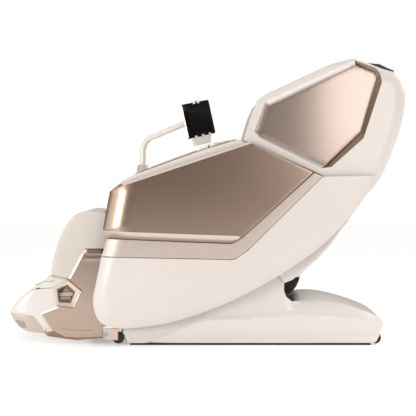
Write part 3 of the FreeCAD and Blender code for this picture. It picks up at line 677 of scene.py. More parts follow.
def build_shells():
    """The cream side shells, the flange behind each one's rear edge, and the trim bands above them."""
    top = [(-447, 389, 2), (129, 378, 45), (189, 420, 32), (509, 737, 1), (735, 742, 8)]
    edge = outline(top + HULL[::-1])
    hull_line = path([(-447, 380)] + HULL[1:] + [(738, 752)])
    keep = np.array([p for p in edge if distance(np.array([p]), hull_line)[0] < 0.012])
    hull_edge = keep[np.argsort([np.argmin(((hull_line - p) ** 2).sum(1)) for p in keep])]
    trim_edge = path([(-440, 389), (129, 378), (189, 420), (509, 737), (728, 742)])
    roll = (hull_edge, 0.075, 0.105)

    def skin(points):
        """The outer face; its roll is shallower at the upper rear, to clear the reclining wing."""
        shallow = 0.68 * smooth(points[:, 1], 0.46, 0.57) * (points[:, 0] > 0.40)
        lower = 0.010 * smooth(-points[:, 1], -0.32, -0.09)
        return SHELL_FACE - lower + shallow * drop(distance(points, roll[0]), *roll[1:])

    wrap = outline(WRAP)
    rear_edge = path([(405, 299), (448, 338), (498, 383), (548, 438), (598, 508), (628, 543)])
    band = outline([(-446, 391, 2), (129, 380, 45), (189, 422, 32), (508, 737.5, 1), (472, 753, 1),
                    (162, 472, 30), (118, 446, 40), (-129, 455), (-424, 468, 2)])
    for word, side in SIDES:
        shell = relief(f"shell_{word}", edge, skin, shell_back, ["cream_shell"],
                       [roll, (trim_edge, 0.0025, 0.0025)], side=side, back_rim=0.012)
        mount(shell, "seat", [f"side_shell_{word}"])
        flange = relief(f"shell_flange_{word}", wrap, level(0.3147), level(0.3058), ["cream_shell"],
                        [(rear_edge, 0.0085, 0.009)], side=side, back_rim=0.001)
        mount(flange, "seat")
        trim = relief(f"trim_{word}", band, level(TRIM_FACE), level(0.335), ["champagne_trim"],
                      [(FRONT_LINE, 0.09, 0.16), (loop_of(band), 0.0015, 0.0015)], side=side)
        mount(trim, "seat", [f"trim_band_{word}"])


def build_arm_panels():
    """The bronze arm panels, with a pale facet above and below the flat of each, and painted shade at the front
    end of the upper facet.
    """
    edge = outline([(-410, 672, 3), (-441, 507, 3), (-424, 470, 3), (-129, 457), (118, 448, 40),
                    (161, 474, 28), (469, 755, 2), (190, 885, 2), (-371, 700, 6)])
    top_line = path([(-400, 677), (-376, 688), (186, 874)])
    low_line = path([(-436, 502), (150, 480), (166, 487)])

    def height(points):
        y, z = points[:, 0] / MM, points[:, 1] / MM
        face = PANEL_FACE - 0.0035 * ((z - 640) / 200) ** 2 - 0.002 * ((y - 20) / 400) ** 2
        over = np.clip(z - np.interp(y, [-409, -376, 189], [675, 688, 876]), 0, 40)
        under = np.clip(np.interp(y, [-436, 150, 200], [502, 480, 400]) - z, 0, 40)
        return face - over * 0.55 * MM - under * 0.62 * MM

    def paint(middle):
        y, z = middle[:, 0] / MM, middle[:, 1] / MM
        above = z > np.interp(y, [-409, -376, 189], [675, 688, 876])
        below = z < np.interp(y, [-436, 150, 172], [502, 480, 400])
        # painted shade: the front end of the upper facet is painted dark bronze
        return np.where(above & (y < -352), 2, np.where(above | below, 1, 0))

    for word, side in SIDES:
        panel = relief(f"arm_face_{word}", edge, height, level(0.337),
                       ["bronze_panel", "pale_bronze", "dark_bronze"],
                       [(FRONT_LINE, 0.11, 0.16), (loop_of(edge), 0.0018, 0.0018)], [top_line, low_line],
                       paint, side=side, step=0.012, sharp=14)
        mount(panel, "seat", [f"arm_panel_{word}"])


def build_arms():
    """The cream bodies of the arms, with a thin dark bead along the top of each."""
    corners = [(-406, 664, 14), (-436, 512, 16), (-420, 482, 8), (325, 482, 8), (325, 818, 6),
               (172, 884, 8), (143, 897, 10), (-20, 849), (-205, 781), (-297, 749), (-364, 712, 20)]
    edge = outline(corners)
    for word, side in SIDES:
        arm = relief(f"arm_{word}", edge, level(ARM_FACE), level(0.258), ["cream_shell"],
                     [(loop_of(edge), 0.014, 0.014), (FRONT_LINE, 0.11, 0.16)], side=side, step=0.016,
                     back_rim=0.016)
        mount(arm, "seat", [f"arm_body_{word}"])
        line = [Vector((side * 0.3535, y * MM, z * MM)) for y, z in
                [(-300, 749), (-205, 783), (-20, 851), (60, 875), (136, 897)]]
        bead = tube(f"arm_bead_{word}", line, 0.0016, "dark_bronze")
        mount(bead, "seat")


def strip_pad(name, line, near, far, thick, **options):
    """A pad on top of a line in the side view; its thickness goes to the line's left."""
    at, length = along_line(line)

    def place(u, v, w):
        spot, way = at(v)
        return Vector((near + u * (far - near), spot.x - way.y * w, spot.y + way.x * w))

    return pad(name, place, abs(far - near), length, thick, **options)


def build_armrests():
    """The armrest pads, two of them on the left, and between those two on the phone cradle a bronze wedge and a
    thin dark sheet of painted shade in its slot.
    """
    line = [(-236, 760), (-205, 772), (-20, 841), (110, 881)]
    form = {"cell": 0.006, "seams_u": (0.14, 0.86), "depth": 0.003, "swell": 0.006, "power": 3}
    near, far, thick = 0.268, 0.338, 0.016
    front = strip_pad("armrest_left_front", line[:2] + [(-26, 839)], near, far, thick, **form)
    rear = strip_pad("armrest_left_rear", [(36, 858.5), line[-1]], near, far, thick, **form)
    mount(rear, "seat")
    mount(front, "seat", ["armrest_pad_left"])
    right = strip_pad("armrest_right", line, -far, -near, thick, **form)
    mount(right, "seat", ["armrest_pad_right"])
    shade_in, shade_thick, wedge_in, wedge_thick = 0.3234, 0.0012, 0.3392, 0.010
    # painted shade: a thin dark sheet on the cradle's face stands for the shade in its slot
    block("cradle_shade", "seat", "black_plastic", [(14, 852, 1), (20, 852, 1), (21, 872, 1), (15, 872, 1)],
          shade_in, shade_in + shade_thick, 0.0004, step=0.005)
    block("cradle_wedge", "seat", "collar_bronze",
          [(38, 863, 2), (38, 881, 3), (58, 885, 4), (90, 885, 2), (88, 879, 2)],
          wedge_in, wedge_in + wedge_thick, 0.0015, step=0.008)


# ------------------------------------------------------------------ backrest

BACK_ANGLE = math.radians(61)
BACK_FOOT = (175, 420)


def back_point(along, across):
    """A point in mm, given along the backrest's front and across it towards the rear."""
    return (BACK_FOOT[0] + along * math.cos(BACK_ANGLE) + across * math.sin(BACK_ANGLE),
            BACK_FOOT[1] + along * math.sin(BACK_ANGLE) - across * math.cos(BACK_ANGLE))


WING = [(168, 894, 6), (203, 1008, 40), (228, 1064, 22), (262, 1091, 22), (417, 1163, 400), (550, 1224, 300),
        (645, 1246, 16), (700, 1229, 60), (765, 1203, 30), (826, 1186, 22), (850, 1158, 40), (871, 1092),
        (855, 967), (820, 861), (770, 745), (735, 690), (690, 652, 30), (600, 668), (535, 705, 30),
        (508, 741, 4), (473, 758, 4)]
RECESS = [(262, 1060, 10), (214, 930, 12), (240, 903, 12), (502, 773, 14), (546, 777, 14), (686, 902, 12),
          (764, 1143, 16), (757, 1182, 16), (738, 1206, 14), (648, 1238, 12)]
POD_DEPTH = 0.028
FLOOR = [(279, 1045, 4), (236, 918, 4), (252, 909, 4), (523, 785, 6), (676, 931, 5), (743, 1165, 10),
         (732, 1187, 10), (652, 1219, 4)]


def build_wings():
    """The shoulder pods, each with a sunk recess whose walls carry painted highlight and painted shade, and a
    bronze panel on its floor.
    """
    edge, recess, floor = outline(WING), outline(RECESS, 0.008), outline(FLOOR, 0.008)
    rear = np.array([p for p in edge if p[1] > 0.64 and p[0] > 0.66])
    rear = rear[np.argsort(-np.arctan2(rear[:, 1] - 0.95, rear[:, 0] - 0.5))]
    front = path([(168, 894), (203, 1008), (228, 1064), (262, 1091), (417, 1163), (550, 1224), (645, 1246)])

    def height(points):
        base = POD_FACE - 0.006 * smooth(-points[:, 0], -0.42, -0.16)
        into, out_of = distance(points, loop_of(recess)), distance(points, loop_of(floor))
        in_recess, in_floor = inside(points, recess), inside(points, floor)
        share = np.where(in_floor, 1.0, np.where(in_recess, into / (into + out_of + 1e-9), 0.0))
        return base - POD_DEPTH * share

    mitres = [path([a[:2], b[:2]], 0.004) for a, b in
              ((RECESS[0], FLOOR[0]), (RECESS[9], FLOOR[7]), (RECESS[1], FLOOR[1]), (RECESS[3], FLOOR[3]))]
    # painted highlight and painted shade: each recess wall is painted lighter or darker by the way it faces, white
    # on the upper wall, pale bronze on the front wall, cream on the lower wall and dark bronze, the default, on
    # the rear walls
    facets = [(2, [RECESS[0], FLOOR[0], FLOOR[7], RECESS[9]]),
              (3, [RECESS[0], FLOOR[0], FLOOR[1], RECESS[1]]),
              (0, [RECESS[1], RECESS[2], RECESS[3], FLOOR[3], FLOOR[2], FLOOR[1]])]

    def paint(middle):
        ring = inside(middle, recess) & ~inside(middle, floor)
        kind = np.ones(len(middle), int)
        for index, corners in facets:
            kind = np.where(inside(middle, np.array([c[:2] for c in corners], float) * MM), index, kind)
        return np.where(ring, kind, 0)

    shrunk = outline([(281, 1042, 3), (239, 918, 3), (254, 912, 3), (523, 788, 5), (673, 932, 4),
                      (740, 1164, 9), (730, 1184, 9), (652, 1216, 3)])
    for word, side in SIDES:
        wing = relief(f"wing_{word}", edge, height, level(0.262),
                      ["cream_shell", "dark_bronze", "pale_plastic", "pale_bronze"],
                      [(rear, 0.055, 0.07), (front, 0.016, 0.018)],
                      [loop_of(recess), loop_of(floor), *[m[1:-1] for m in mitres]], paint, side=side,
                      back_rim=0.03, step=0.014, sharp=20)
        mount(wing, "backrest", [f"shoulder_pod_{word}"])
        face = relief(f"wing_face_{word}", shrunk,
                      lambda p: 0.3485 - 0.14 * (p[:, 0] - 0.45) ** 2 - 0.05 * (p[:, 1] - 1.0) ** 2,
                      level(0.3325), ["pod_panel"], [(loop_of(shrunk), 0.0015, 0.0015)], side=side)
        mount(face, "backrest", [f"pod_panel_{word}"])


REAR_LINE = [(416, 298), (486, 362), (554, 441), (634, 538), (716, 655), (766, 745), (816, 862), (851, 968),
             (867, 1088), (846, 1156), (822, 1186), (772, 1194)]


def build_back_cover():
    """The rear cover, one curved sheet that is narrow at the foot and dips forward at both sides."""
    at, _ = along_line(REAR_LINE)
    rows, columns, thick = 90, 60, 0.012
    outer, inner = [], []
    for i in range(rows + 1):
        spot, way = at(i / rows)
        half = 0.236 + 0.046 * smooth(np.array(spot.y), 0.48, 0.62)
        for j in range(columns + 1):
            v = math.sin((2 * j / columns - 1) * math.pi / 2)
            fall = 0.030 * (1 - (1 - min(abs(v), 1) ** 6) ** (1 / 6))
            for grid, width, deep in ((outer, half, fall), (inner, half - thick / 2, fall + thick)):
                away = Vector((-way.y, way.x)) * deep
                grid.append(Vector((v * width, spot.x + away.x, spot.y + away.y)))
    cover = closed_sheet("rear_cover", outer, inner, columns, "cream_shell")
    mount(cover, "backrest", ["back_cover"])
    vents = []
    for side in (-1, 1):
        for k in range(7):
            spot, _ = at(0.60 + k * 0.014)
            slot = [Vector((side * x, spot.x + 0.0012, spot.y)) for x in (0.06, 0.10, 0.145)]
            vents.append(tube("vent", slot, 0.0022, "black_plastic"))
    mount(join("rear_vents", vents), "backrest")


def build_gaiter():
    """The pleated gaiter at the foot of the backrest, the chin over it and the bronze tips."""
    lip = outline([(352, 266, 3), (353, 232, 8), (362, 213, 3), (374, 217, 6), (390, 231, 30), (405, 250, 40),
                   (414, 270, 60), (420, 287, 3), (413, 302, 3), (398, 305, 3), (386, 293, 60),
                   (372, 278, 60)], 0.004)
    middle = path([(356, 218), (362, 240), (378, 262), (394, 282), (410, 304)], 0.004)
    half, pleat = 0.2275, 0.0062
    block("back_chin", "backrest", "cream_shell",
          [(352, 264, 8), (375, 279, 30), (391, 298, 20), (402, 309, 4), (420, 306, 5), (444, 332, 8),
           (410, 352, 8), (372, 330, 10), (352, 300, 10)], -half, half, 0.010)

    def pleats(points):
        return 0.2265 - 0.0016 * (1 + np.cos(distance(points, middle) / pleat * 2 * math.pi))

    for word, side in SIDES:
        cloth = relief(f"back_gaiter_{word}", lip, pleats, level(0.0), ["gaiter"],
                       [(loop_of(lip), 0.002, 0.002)], [middle], side=side, step=0.0035, back_rim=0.0)
        mount(cloth, "backrest")
        block(f"gaiter_tip_{word}", "backrest", "collar_bronze",
              [(400, 305, 2), (406, 296, 2), (422, 290, 2), (425, 302, 2), (414, 312, 2)], 0.222, 0.2295,
              0.002, step=0.008, side=side)


def back_pad(name, low, high, near, far, front, rear, **options):
    """A pad on the backrest: from low to high along it, near to far across the chair, front to rear deep."""
    def place(u, v, w):
        y, z = back_point(low + v * (high - low), rear - w / MM)
        return Vector((near + u * (far - near), y * MM, z * MM))

    return pad(name, place, abs(far - near), (high - low) * MM, (rear - front) * MM, **options)


def build_back_pads():
    """The back cushion, its bolsters, the head pillow and the shoulder pads."""
    rows = [k / 8 for k in range(1, 7)]
    middle = back_pad("back_pad_middle", 24, 868, -0.150, 0.150, 4, 78, seams_v=rows, seams_u=(0.5,),
                      depth=0.008)
    mount(middle, "backrest", ["back_cushion"])
    for word, side in SIDES:
        bolster = back_pad(f"back_bolster_{word}", 24, 868, side * 0.152, side * 0.247, -6, 78,
                           seams_v=(0.3, 0.62), depth=0.008, cell=0.009)
        mount(bolster, "backrest")
    pillow = back_pad("pillow", 642, 866, -0.140, 0.140, -54, -3, seams_u=(0.12, 0.88), depth=0.006,
                      swell=0.014, power=6, cell=0.008)
    mount(pillow, "pillow", ["head_pillow"])
    for word, side in SIDES:
        def place(u, v, w, side=side):
            y, z = 270 + 330 * v + 47.5 * u, 945 + 175 * v - 95 * u
            return Vector((side * (0.266 - w), y * MM, z * MM))

        cheek = pad(f"shoulder_pad_{word}", place, 0.106, 0.37, 0.030, seams_v=(0.5,), depth=0.005,
                    cell=0.008)
        mount(cheek, "backrest")


def build_top_cap():
    """The dark cap that joins the tops of the shoulder pods."""
    half = 0.2475
    block("top_shelf", "backrest", "black_plastic",
          [(606, 1192, 4), (668, 1163, 8), (752, 1175, 10), (764, 1199, 4), (826, 1196, 3), (836, 1200, 3),
           (806, 1212, 8), (768, 1230, 14), (700, 1236, 30), (640, 1222, 25)], -half, half, 0.006,
          ["top_cap"])


# ------------------------------------------------------------------ seat

def build_seat():
    """The seat cushion, the apron below its front edge, the dark web behind it and the hip pads."""
    at, length = along_line([(-380, 474), (150, 322)])
    wide, drop_low, drop_high = 0.448, 0.114, 0.390

    def place(u, v, w):
        spot, way = at(v)
        return Vector((wide * (u - 0.5), spot.x - way.y * w, spot.y + way.x * w))

    cushion = pad("seat_pad", place, wide, length, 0.088, seams_v=(0.30, 0.55, 0.80), seams_u=(0.24, 0.76),
                  depth=0.009, swell=0.014, crown=0.004)
    mount(cushion, "seat", ["seat_cushion"])

    def hang(u, v, w):
        return Vector((wide * (u - 0.5), -0.3665 - w - 0.010 * v, drop_low + (drop_high - drop_low) * v))

    apron = pad("seat_apron", hang, wide, drop_high - drop_low, 0.012, seams_u=(0.25, 0.5, 0.75), depth=0.004,
                swell=0.006, power=3)
    mount(apron, "seat", ["front_apron"])
    half = 0.205
    block("seat_web", "seat", "black_rubber",
          [(158, 336, 4), (163, 334, 2), (180, 394, 8), (256, 383, 3), (258, 387, 2), (176, 401, 8)],
          -half, half, 0.001)
    for word, side in SIDES:
        def beside(u, v, w, side=side):
            return Vector((side * (0.262 - w), -0.300 + 0.480 * v, 0.655 - 0.14 * v - 0.17 * u))

        hip = pad(f"hip_pad_{word}", beside, 0.17, 0.48, 0.030, seams_v=(0.34, 0.67), depth=0.006)
        mount(hip, "seat")


# ------------------------------------------------------------------ base

BASE = [(-334, 9, 2), (-359, 66, 12), (-345, 112, 30), (0, 236, 60), (205, 330, 60), (300, 348, 24),
        (350, 285, 20), (347, 240, 30), (358, 209, 20), (385, 187, 16), (430, 192, 60), (510, 193, 80),
        (585, 181, 200), (650, 163, 200), (709, 145, 120), (750, 129, 60), (773, 114, 12), (782, 98, 10),
        (765, 41, 30), (750, 14, 8), (738, 9, 4)]
HUMP = [(-334, 300), (347, 300), (400, 192), (510, 193), (585, 181), (650, 163), (709, 145), (750, 129),
        (783, 118)]
CREASE = [(-262, 9), (-172, 39), (-20, 108), (198, 119), (372, 133), (547, 131), (700, 112), (781, 94)]
DECK_MIDDLE = [(376, 160), (383, 190), (400, 207), (424, 214), (492, 215.5), (564, 203), (630, 184),
               (682, 167), (735, 145), (765, 126), (780, 106), (782, 86), (773, 60), (765, 41),
               (750, 13), (740, 9)]
DECK_EDGE = [(378, 150), (385, 174), (400, 188), (430, 191.5), (510, 192), (585, 180), (650, 162),
             (709, 144), (750, 128), (771, 113), (780, 97), (777, 80), (772, 60), (763, 40),
             (749, 13), (740, 9)]


def build_deck():
    """The crowned white cover between the two side covers, from the gaiter to the floor behind."""
    columns, half, thick, core = 48, 0.2495, 0.007, np.array([0.55, 0.10])
    outer, inner = [], []
    for a, b in zip(eased(DECK_MIDDLE), eased(DECK_EDGE)):
        for j in range(columns + 1):
            x = -half + 2 * half * j / columns
            share = abs(x / half) ** 2.2
            spot = a * (1 - share) + b * share
            outer.append((x, spot[0], spot[1]))
            pull = core - spot
            spot = spot + pull / np.linalg.norm(pull) * thick
            inner.append((x, spot[0], max(spot[1], 0.009)))
    deck = closed_sheet("base_deck", outer, inner, columns, "base_white", 50)
    inlet, tray_half = -0.105, 0.053
    hollow = prism("hollow", [(735, 47, 4), (735, 87, 4), (820, 87, 4), (820, 47, 4)], inlet - 0.045,
                   inlet + 0.045, ["black_plastic"], 0.003)
    carve(deck, [hollow])
    mount(deck, "base", ["base_rear_cover"])
    block("inlet_tray", "base", "black_plastic", [(742, 42, 1), (748, 42, 1), (748, 92, 1), (742, 92, 1)],
          inlet - tray_half, inlet + tray_half, 0.001)


def build_base():
    """The white side covers of the base, creased along the hump, and the deck between them."""
    edge = outline(BASE)

    def height(points):
        y, z = points[:, 0] / MM, points[:, 1] / MM
        ridge, top = np.interp(y, *zip(*CREASE)), np.interp(y, *zip(*HUMP))
        above, below = np.maximum(z - ridge, 0), np.maximum(ridge - z, 0)
        share = np.clip(above / np.maximum(top - ridge, 8), 0, 1)
        round_top = 0.0100 * (1 - np.exp(-above / 6)) + 0.036 * share ** 1.5
        upright = 0.0080 * (1 - np.exp(-above / 7)) + 0.00005 * above
        part = smooth(y, 345, 430)
        wall = 0.0070 * np.sin(np.clip(below / (ridge + 1), 0, 1) * math.pi)
        return 0.3045 - part * round_top - (1 - part) * upright - wall

    crease = path(CREASE)
    crease = crease[inside(crease, edge)]
    for word, side in SIDES:
        cover = relief(f"base_cover_{word}", edge, height,
                       lambda p: 0.2505 + 0.037 * smooth(p[:, 0], 0.700, 0.706), ["base_white"],
                       [(loop_of(edge), 0.006, 0.0065)], [crease], side=side, step=0.011, back_rim=0.002,
                       sharp=60)
        mount(cover, "base", [f"base_side_cover_{word}"])
    build_deck()


def wheel(name, across, body, node):
    """Two wheels on an axle: tyre, rim, dished hub and hub cap."""
    height, side_place = 0.030, 0.273
    profile = [(-11, 6), (-11, 17), (-8, 18), (-8, 21), (-11, 22), (-10.5, 24), (-8, 25.6), (-3, 26),
               (-2, 25.2), (2, 25.2), (3, 26), (8, 25.6), (10.5, 24), (11, 22), (8, 21), (8, 18),
               (10, 17), (9, 9), (11, 8), (11.5, 5), (11.5, 0)]
    marks = [1] * 3 + [0] * 11 + [1] * 6
    parts = [lathe(f"{name}_{side}", profile, (side * side_place, across, height), (side, 0, 0),
                   ["black_rubber", "black_plastic"], marks=marks) for side in (1, -1)]
    parts.append(lathe(f"{name}_axle", [(-262, 0), (-262, 6), (262, 6), (262, 0)], (0, across, height),
                       (1, 0, 0), ["bright_steel"], turns=24))
    mount(join(name, parts), body, [node])


# ------------------------------------------------------------------ leg rest and foot rest

CALF = [(-676, 302, 4), (-675, 325, 200), (-666, 375), (-637, 471), (-598, 538), (-565, 572), (-508, 589),
        (-449, 580, 10), (-449, 546, 4), (-480, 540, 4), (-480, 419.5, 2), (-528, 419.5, 2), (-602, 285, 4)]


def build_leg_rest():
    """The three walls of the calf cushion with their piping and flaps, the slings between, and the back."""
    edge = outline(CALF, 0.008)
    seam_line = path([(-667, 303), (-666, 325), (-657, 373), (-629, 466), (-590, 532), (-560, 563),
                      (-507, 580), (-450, 572)], 0.008)
    rim = path([(-604, 284), (-676, 302)] + [c[:2] for c in CALF[1:8]] + [(-449, 560)])
    walls = (("left", 0.197, 0.2495, 1), ("right", 0.197, 0.2495, -1), ("middle", -0.035, 0.035, 1))
    for word, near, far, side in walls:
        wall = relief(f"calf_wall_{word}", edge, level(far), level(near), ["cream_leather"],
                      [(rim, 0.014, 0.016)], [seam_line], side=side, step=0.010, back_rim=0.020, sharp=70)
        mount(wall, "legrest", ["calf_cushion"] if word == "middle" else ())
        if word != "middle":
            line = [Vector((side * (far - 0.0022), y, z)) for y, z in seam_line[::3]]
            mount(tube(f"calf_piping_{word}", line, 0.0021, "piping"), "legrest")
            block(f"calf_flap_{word}", "legrest", "cream_leather",
                  [(-490, 545, 1), (-490, 419.5, 1), (-430, 419.5, 1), (-430, 574, 8), (-462, 580, 8)],
                  0.2450, 0.2496, 0.0006, fill=0.5, side=side)
    floor_line = [(-636, 286), (-622, 306), (-562, 432), (-516, 498), (-466, 540)]
    at, length = along_line(floor_line)
    for word, side in SIDES:
        def place(u, v, w, side=side):
            spot, way = at(v)
            away = Vector((-way.y, way.x))
            return Vector((side * (0.034 + 0.164 * u), spot.x + away.x * (w - 0.010),
                           spot.y + away.y * (w - 0.010)))

        sling = pad(f"calf_pad_{word}", place, 0.164, length, 0.020, seams_v=(0.28, 0.52, 0.76),
                    depth=0.006, cell=0.007, swell=0.008)
        mount(sling, "legrest")
    block("calf_back", "legrest", "black_plastic",
          [(-606, 290, 2), (-634, 289, 2), (-560, 436, 4), (-514, 502, 4), (-480, 532, 4), (-480, 426, 4),
           (-528, 426, 4)], -0.2, 0.2, 0.003)


LEG_PANEL = [(-531, 417, 2), (-453, 417, 2), (-447, 300, 6), (-447, 24, 6), (-563, 15, 20), (-619, 21, 20),
             (-692, 32, 8), (-709, 48, 6), (-751, 124, 2), (-652, 164, 2), (-603, 281, 2)]
PENTAGON = [(-598, 283), (-539, 234), (-576, 157), (-652, 166), (-669, 246)]
INNER_PENTAGON = [(-607, 256), (-573, 225), (-592, 185), (-639, 188), (-646, 237)]
LEG_FACE, BADGE_FACE, FOOT_FACE = 0.2525, 0.2555, 0.2495
ROLLER_AXIS = (-0.684, 0.104)
ROLLER_FIRST, ROLLER_PITCH, ROLLER_COUNT = 0.056, 0.030, 5


def build_leg_panels():
    """The bronze side panels of the foot rest, with facets, chamfered edges painted white as painted highlight,
    and a thin dark line of painted shade along a crease.
    """
    edge = outline(LEG_PANEL, 0.008)
    ledge = path([(-540, 398), (-449, 398)])
    foot_edge = path([(-664, 56), (-619, 31), (-560, 26), (-449, 30)])
    facet = path([(-716, 130), (-671, 60), (-560, 47), (-449, 52)])
    slope, lip = path([(-533, 417), (-604, 282)]), path([(-751, 124), (-652, 164)])
    slope_in, lip_in = path([(-521, 414), (-594, 276)]), path([(-748, 116), (-650, 155)])
    crease_shade_line = path([(-630, 69), (-600, 62), (-545, 58), (-492, 60)], 0.006)

    def height(points):
        y, z = points[:, 0] / MM, points[:, 1] / MM
        face = LEG_FACE - 0.006 * smooth(z, 396, 399)
        face += 0.0014 * np.exp(-((z - 374) / 4) ** 2) * smooth(y, -545, -520)
        side_fall = np.clip(np.interp(z, [40, 60, 126], [-672, -671, -716]) - y, 0, 60)
        low_fall = np.clip(np.interp(y, [-671, -560, -449], [60, 47, 52]) - z, 0, 60)
        face -= np.maximum(side_fall * 0.30, low_fall * 0.30) * MM
        face -= 0.12 * np.clip(0.0095 - distance(points, slope), 0, 1) * (z > 283)
        return face - 0.12 * np.clip(0.008 - distance(points, lip), 0, 1) * (z > 110)

    def paint(middle):
        y, z = middle[:, 0] / MM, middle[:, 1] / MM
        # painted highlight: the chamfers along the slope and the lip are painted white
        painted_highlight = (distance(middle, slope) < 0.0098) & (z > 283)
        painted_highlight |= (distance(middle, lip) < 0.0083) & (z > 110)
        front = (y < np.interp(z, [40, 60, 130], [-672, -671, -716])) & (z < 140)
        under = z < np.interp(y, [-664, -619, -560, -449], [56, 31, 26, 30])
        kind = np.where(z > 398, np.where(y < -519, 3, 1), np.where(under, 1, np.where(front, 3, 0)))
        return np.where(painted_highlight, 2, kind)

    for word, side in SIDES:
        panel = relief(f"leg_side_{word}", edge, height, level(0.238),
                       ["leg_bronze", "dark_bronze", "pale_plastic", "leg_edge"],
                       [(loop_of(edge), 0.0016, 0.0016)], [ledge, facet, slope_in, lip_in, foot_edge], paint,
                       side=side, step=0.009, sharp=14)
        # painted shade: a thin dark bronze line is laid along the crease
        line = [Vector((side * (x + 0.0001), y, z)) for x, (y, z) in zip(height(crease_shade_line), crease_shade_line)]
        panel = join(f"leg_side_{word}", [panel, tube("crease", line, 0.0009, "dark_bronze")])
        mount(panel, "footrest", [f"leg_panel_{word}"])
        build_badge(word, side)


def build_badge(word, side):
    """A five-sided badge: a bevelled ring round a dark grille of bars, with a painted highlight in white along its
    right edge.
    """
    outer, inner = (outline([corner + (radius,) for corner in corners], 0.005)
                    for corners, radius in ((PENTAGON, 5), (INNER_PENTAGON, 4)))
    frame_line = outline([(y + (5 if y > -610 else -5), z + (6 if z > 220 else -6), 4)
                          for y, z in INNER_PENTAGON], 0.005)
    right, upper, lower = (path([PENTAGON[i], PENTAGON[i + 1]]) for i in (1, 0, 2))

    def height(points):
        to_in, to_out = distance(points, loop_of(inner)), distance(points, loop_of(outer))
        return np.where(inside(points, inner), BADGE_FACE - np.clip(to_in, 0, 0.004) * 0.8,
                        BADGE_FACE + 0.0035 * to_in / (to_in + to_out + 1e-9))

    def paint(middle):
        # painted highlight: the ring's right edge is painted white
        kind = np.where(distance(middle, right) < 0.006, 2, 0)
        kind = np.where((distance(middle, upper) < 0.005) | (distance(middle, lower) < 0.005), 3, kind)
        kind = np.where(inside(middle, frame_line), 3, kind)
        return np.where(inside(middle, inner), 1, kind)

    badge = relief(f"badge_{word}", outer, height, level(0.2485),
                   ["collar_bronze", "grille_dark", "pale_plastic", "dark_bronze"],
                   [(loop_of(outer), 0.0045, 0.005)], [loop_of(inner), loop_of(frame_line)], paint,
                   side=side, step=0.005, sharp=18)
    bars = []
    for z in range(194, 250, 7):
        chord = [y for y in range(-650, -568, 2) if inside(np.array([(y * MM, z * MM)]), inner)[0]]
        if len(chord) < 4:
            continue
        ends = [Vector((side * (BADGE_FACE - 0.0019), y * MM, z * MM)) for y in
                (chord[0] + 2, (chord[0] + chord[-1]) / 2, chord[-1] - 2)]
        bars.append(tube("bar", ends, 0.0013, "collar_bronze" if z in (215, 222) else "grille_dark"))
    badge = join(f"badge_{word}", [badge] + bars)
    mount(badge, "footrest", ["ankle_badges"] if side > 0 else ())


FOOT = [(-860, 141, 10), (-853, 112), (-829, 77), (-790, 51), (-714, 46, 6), (-640, 30, 20), (-520, 24, 6),
        (-520, 206, 6), (-608, 285, 6), (-676, 299, 10), (-706, 277), (-750, 251), (-790, 223),
        (-838, 178)]


def build_foot_rest():
    """The foot rest's shoe with its two wells, the thin lines and toe windows on it, and the heel pads."""
    edge = outline(FOOT, 0.008)
    seam = path([(-857, 134), (-806, 129), (-752, 121)])
    cuff = path([(-768, 236), (-725, 243), (-662, 246)], 0.006)
    collar = path([(-748, 257), (-712, 272), (-660, 277)], 0.006)
    roll = (loop_of(edge), 0.024, 0.030)

    def height(points):
        toe = smooth(-points[:, 0], 0.72, 0.87)
        cut = 0.0035 * np.exp(-(distance(points, seam) / 0.003) ** 2)
        low_toe = 0.010 * smooth(0.13 - points[:, 1], 0.0, 0.06) * toe
        inner = 0.020 * (points[:, 0] > -0.70) * (points[:, 1] < 0.06)
        return FOOT_FACE - 0.022 * toe ** 2 - cut - low_toe - inner

    def skin(points):
        return height(points) - drop(distance(points, roll[0]), *roll[1:])

    def sole(middle):
        y, z = middle[:, 0] / MM, middle[:, 1] / MM
        return ((z < np.interp(y, [-857, -806, -752, -690], [134, 129, 121, 40])) & (y < -690)).astype(int)

    halves = []
    for word, side in SIDES:
        halves.append(relief(f"foot_{word}", edge, height, level(0.0), ["base_white", "sole_cream"], [roll],
                             [seam], sole, side=side, step=0.009, back_rim=0.0, sharp=50))
    well = [(-558, 66, 8), (-690, 108, 20), (-796, 165, 12), (-780, 203, 12), (-692, 240, 12),
            (-690, 345, 4), (-556, 345, 4)]
    for side, half in zip((1, -1), halves):
        cutter = prism("cutter", well, 0.036, 0.196, ["base_white"], 0.012, side=side)
        pocket = lathe("pocket", [(-80, 0), (-80, 18.5), (80, 18.5), (80, 0)], (side * 0.116, *ROLLER_AXIS),
                       (1, 0, 0), ["black_plastic"])
        carve(half, [cutter, pocket])
    shell = weighted(join("foot_body", halves))
    mount(shell, "footrest", ["foot_shell"])
    lines, windows = [], []
    for side in (1, -1):
        for line in (cuff, collar):
            lines.append(tube("line", [Vector((side * x, y, z)) for x, (y, z) in zip(skin(line), line)],
                              0.0012, "dark_bronze"))
        short = cuff[5:9]
        lines.append(tube("line", [Vector((side * (x + 0.0004), y, z + 0.002))
                                   for x, (y, z) in zip(skin(short), short)], 0.0024, "black_plastic"))
        toe = outline([(-838, 103, 4), (-797, 97, 4), (-781, 67, 4), (-819, 70, 4)], 0.004)
        windows.append(relief("toe_window", toe, lambda p: skin(p) + 0.0012, level(0.205), ["window_grey"],
                              [(loop_of(toe), 0.002, 0.0022)], side=side, step=0.006))
    mount(join("foot_lines", lines), "footrest")
    mount(join("toe_windows", windows), "footrest")
    for word, side in SIDES:
        def place(u, v, w, side=side):
            return Vector((side * (0.046 + 0.14 * u), -0.560 - w, 0.10 + 0.20 * v))

        heel = pad(f"heel_pad_{word}", place, 0.14, 0.19, 0.022, seams_v=(0.5,), depth=0.004, cell=0.008)
        mount(heel, "footrest")


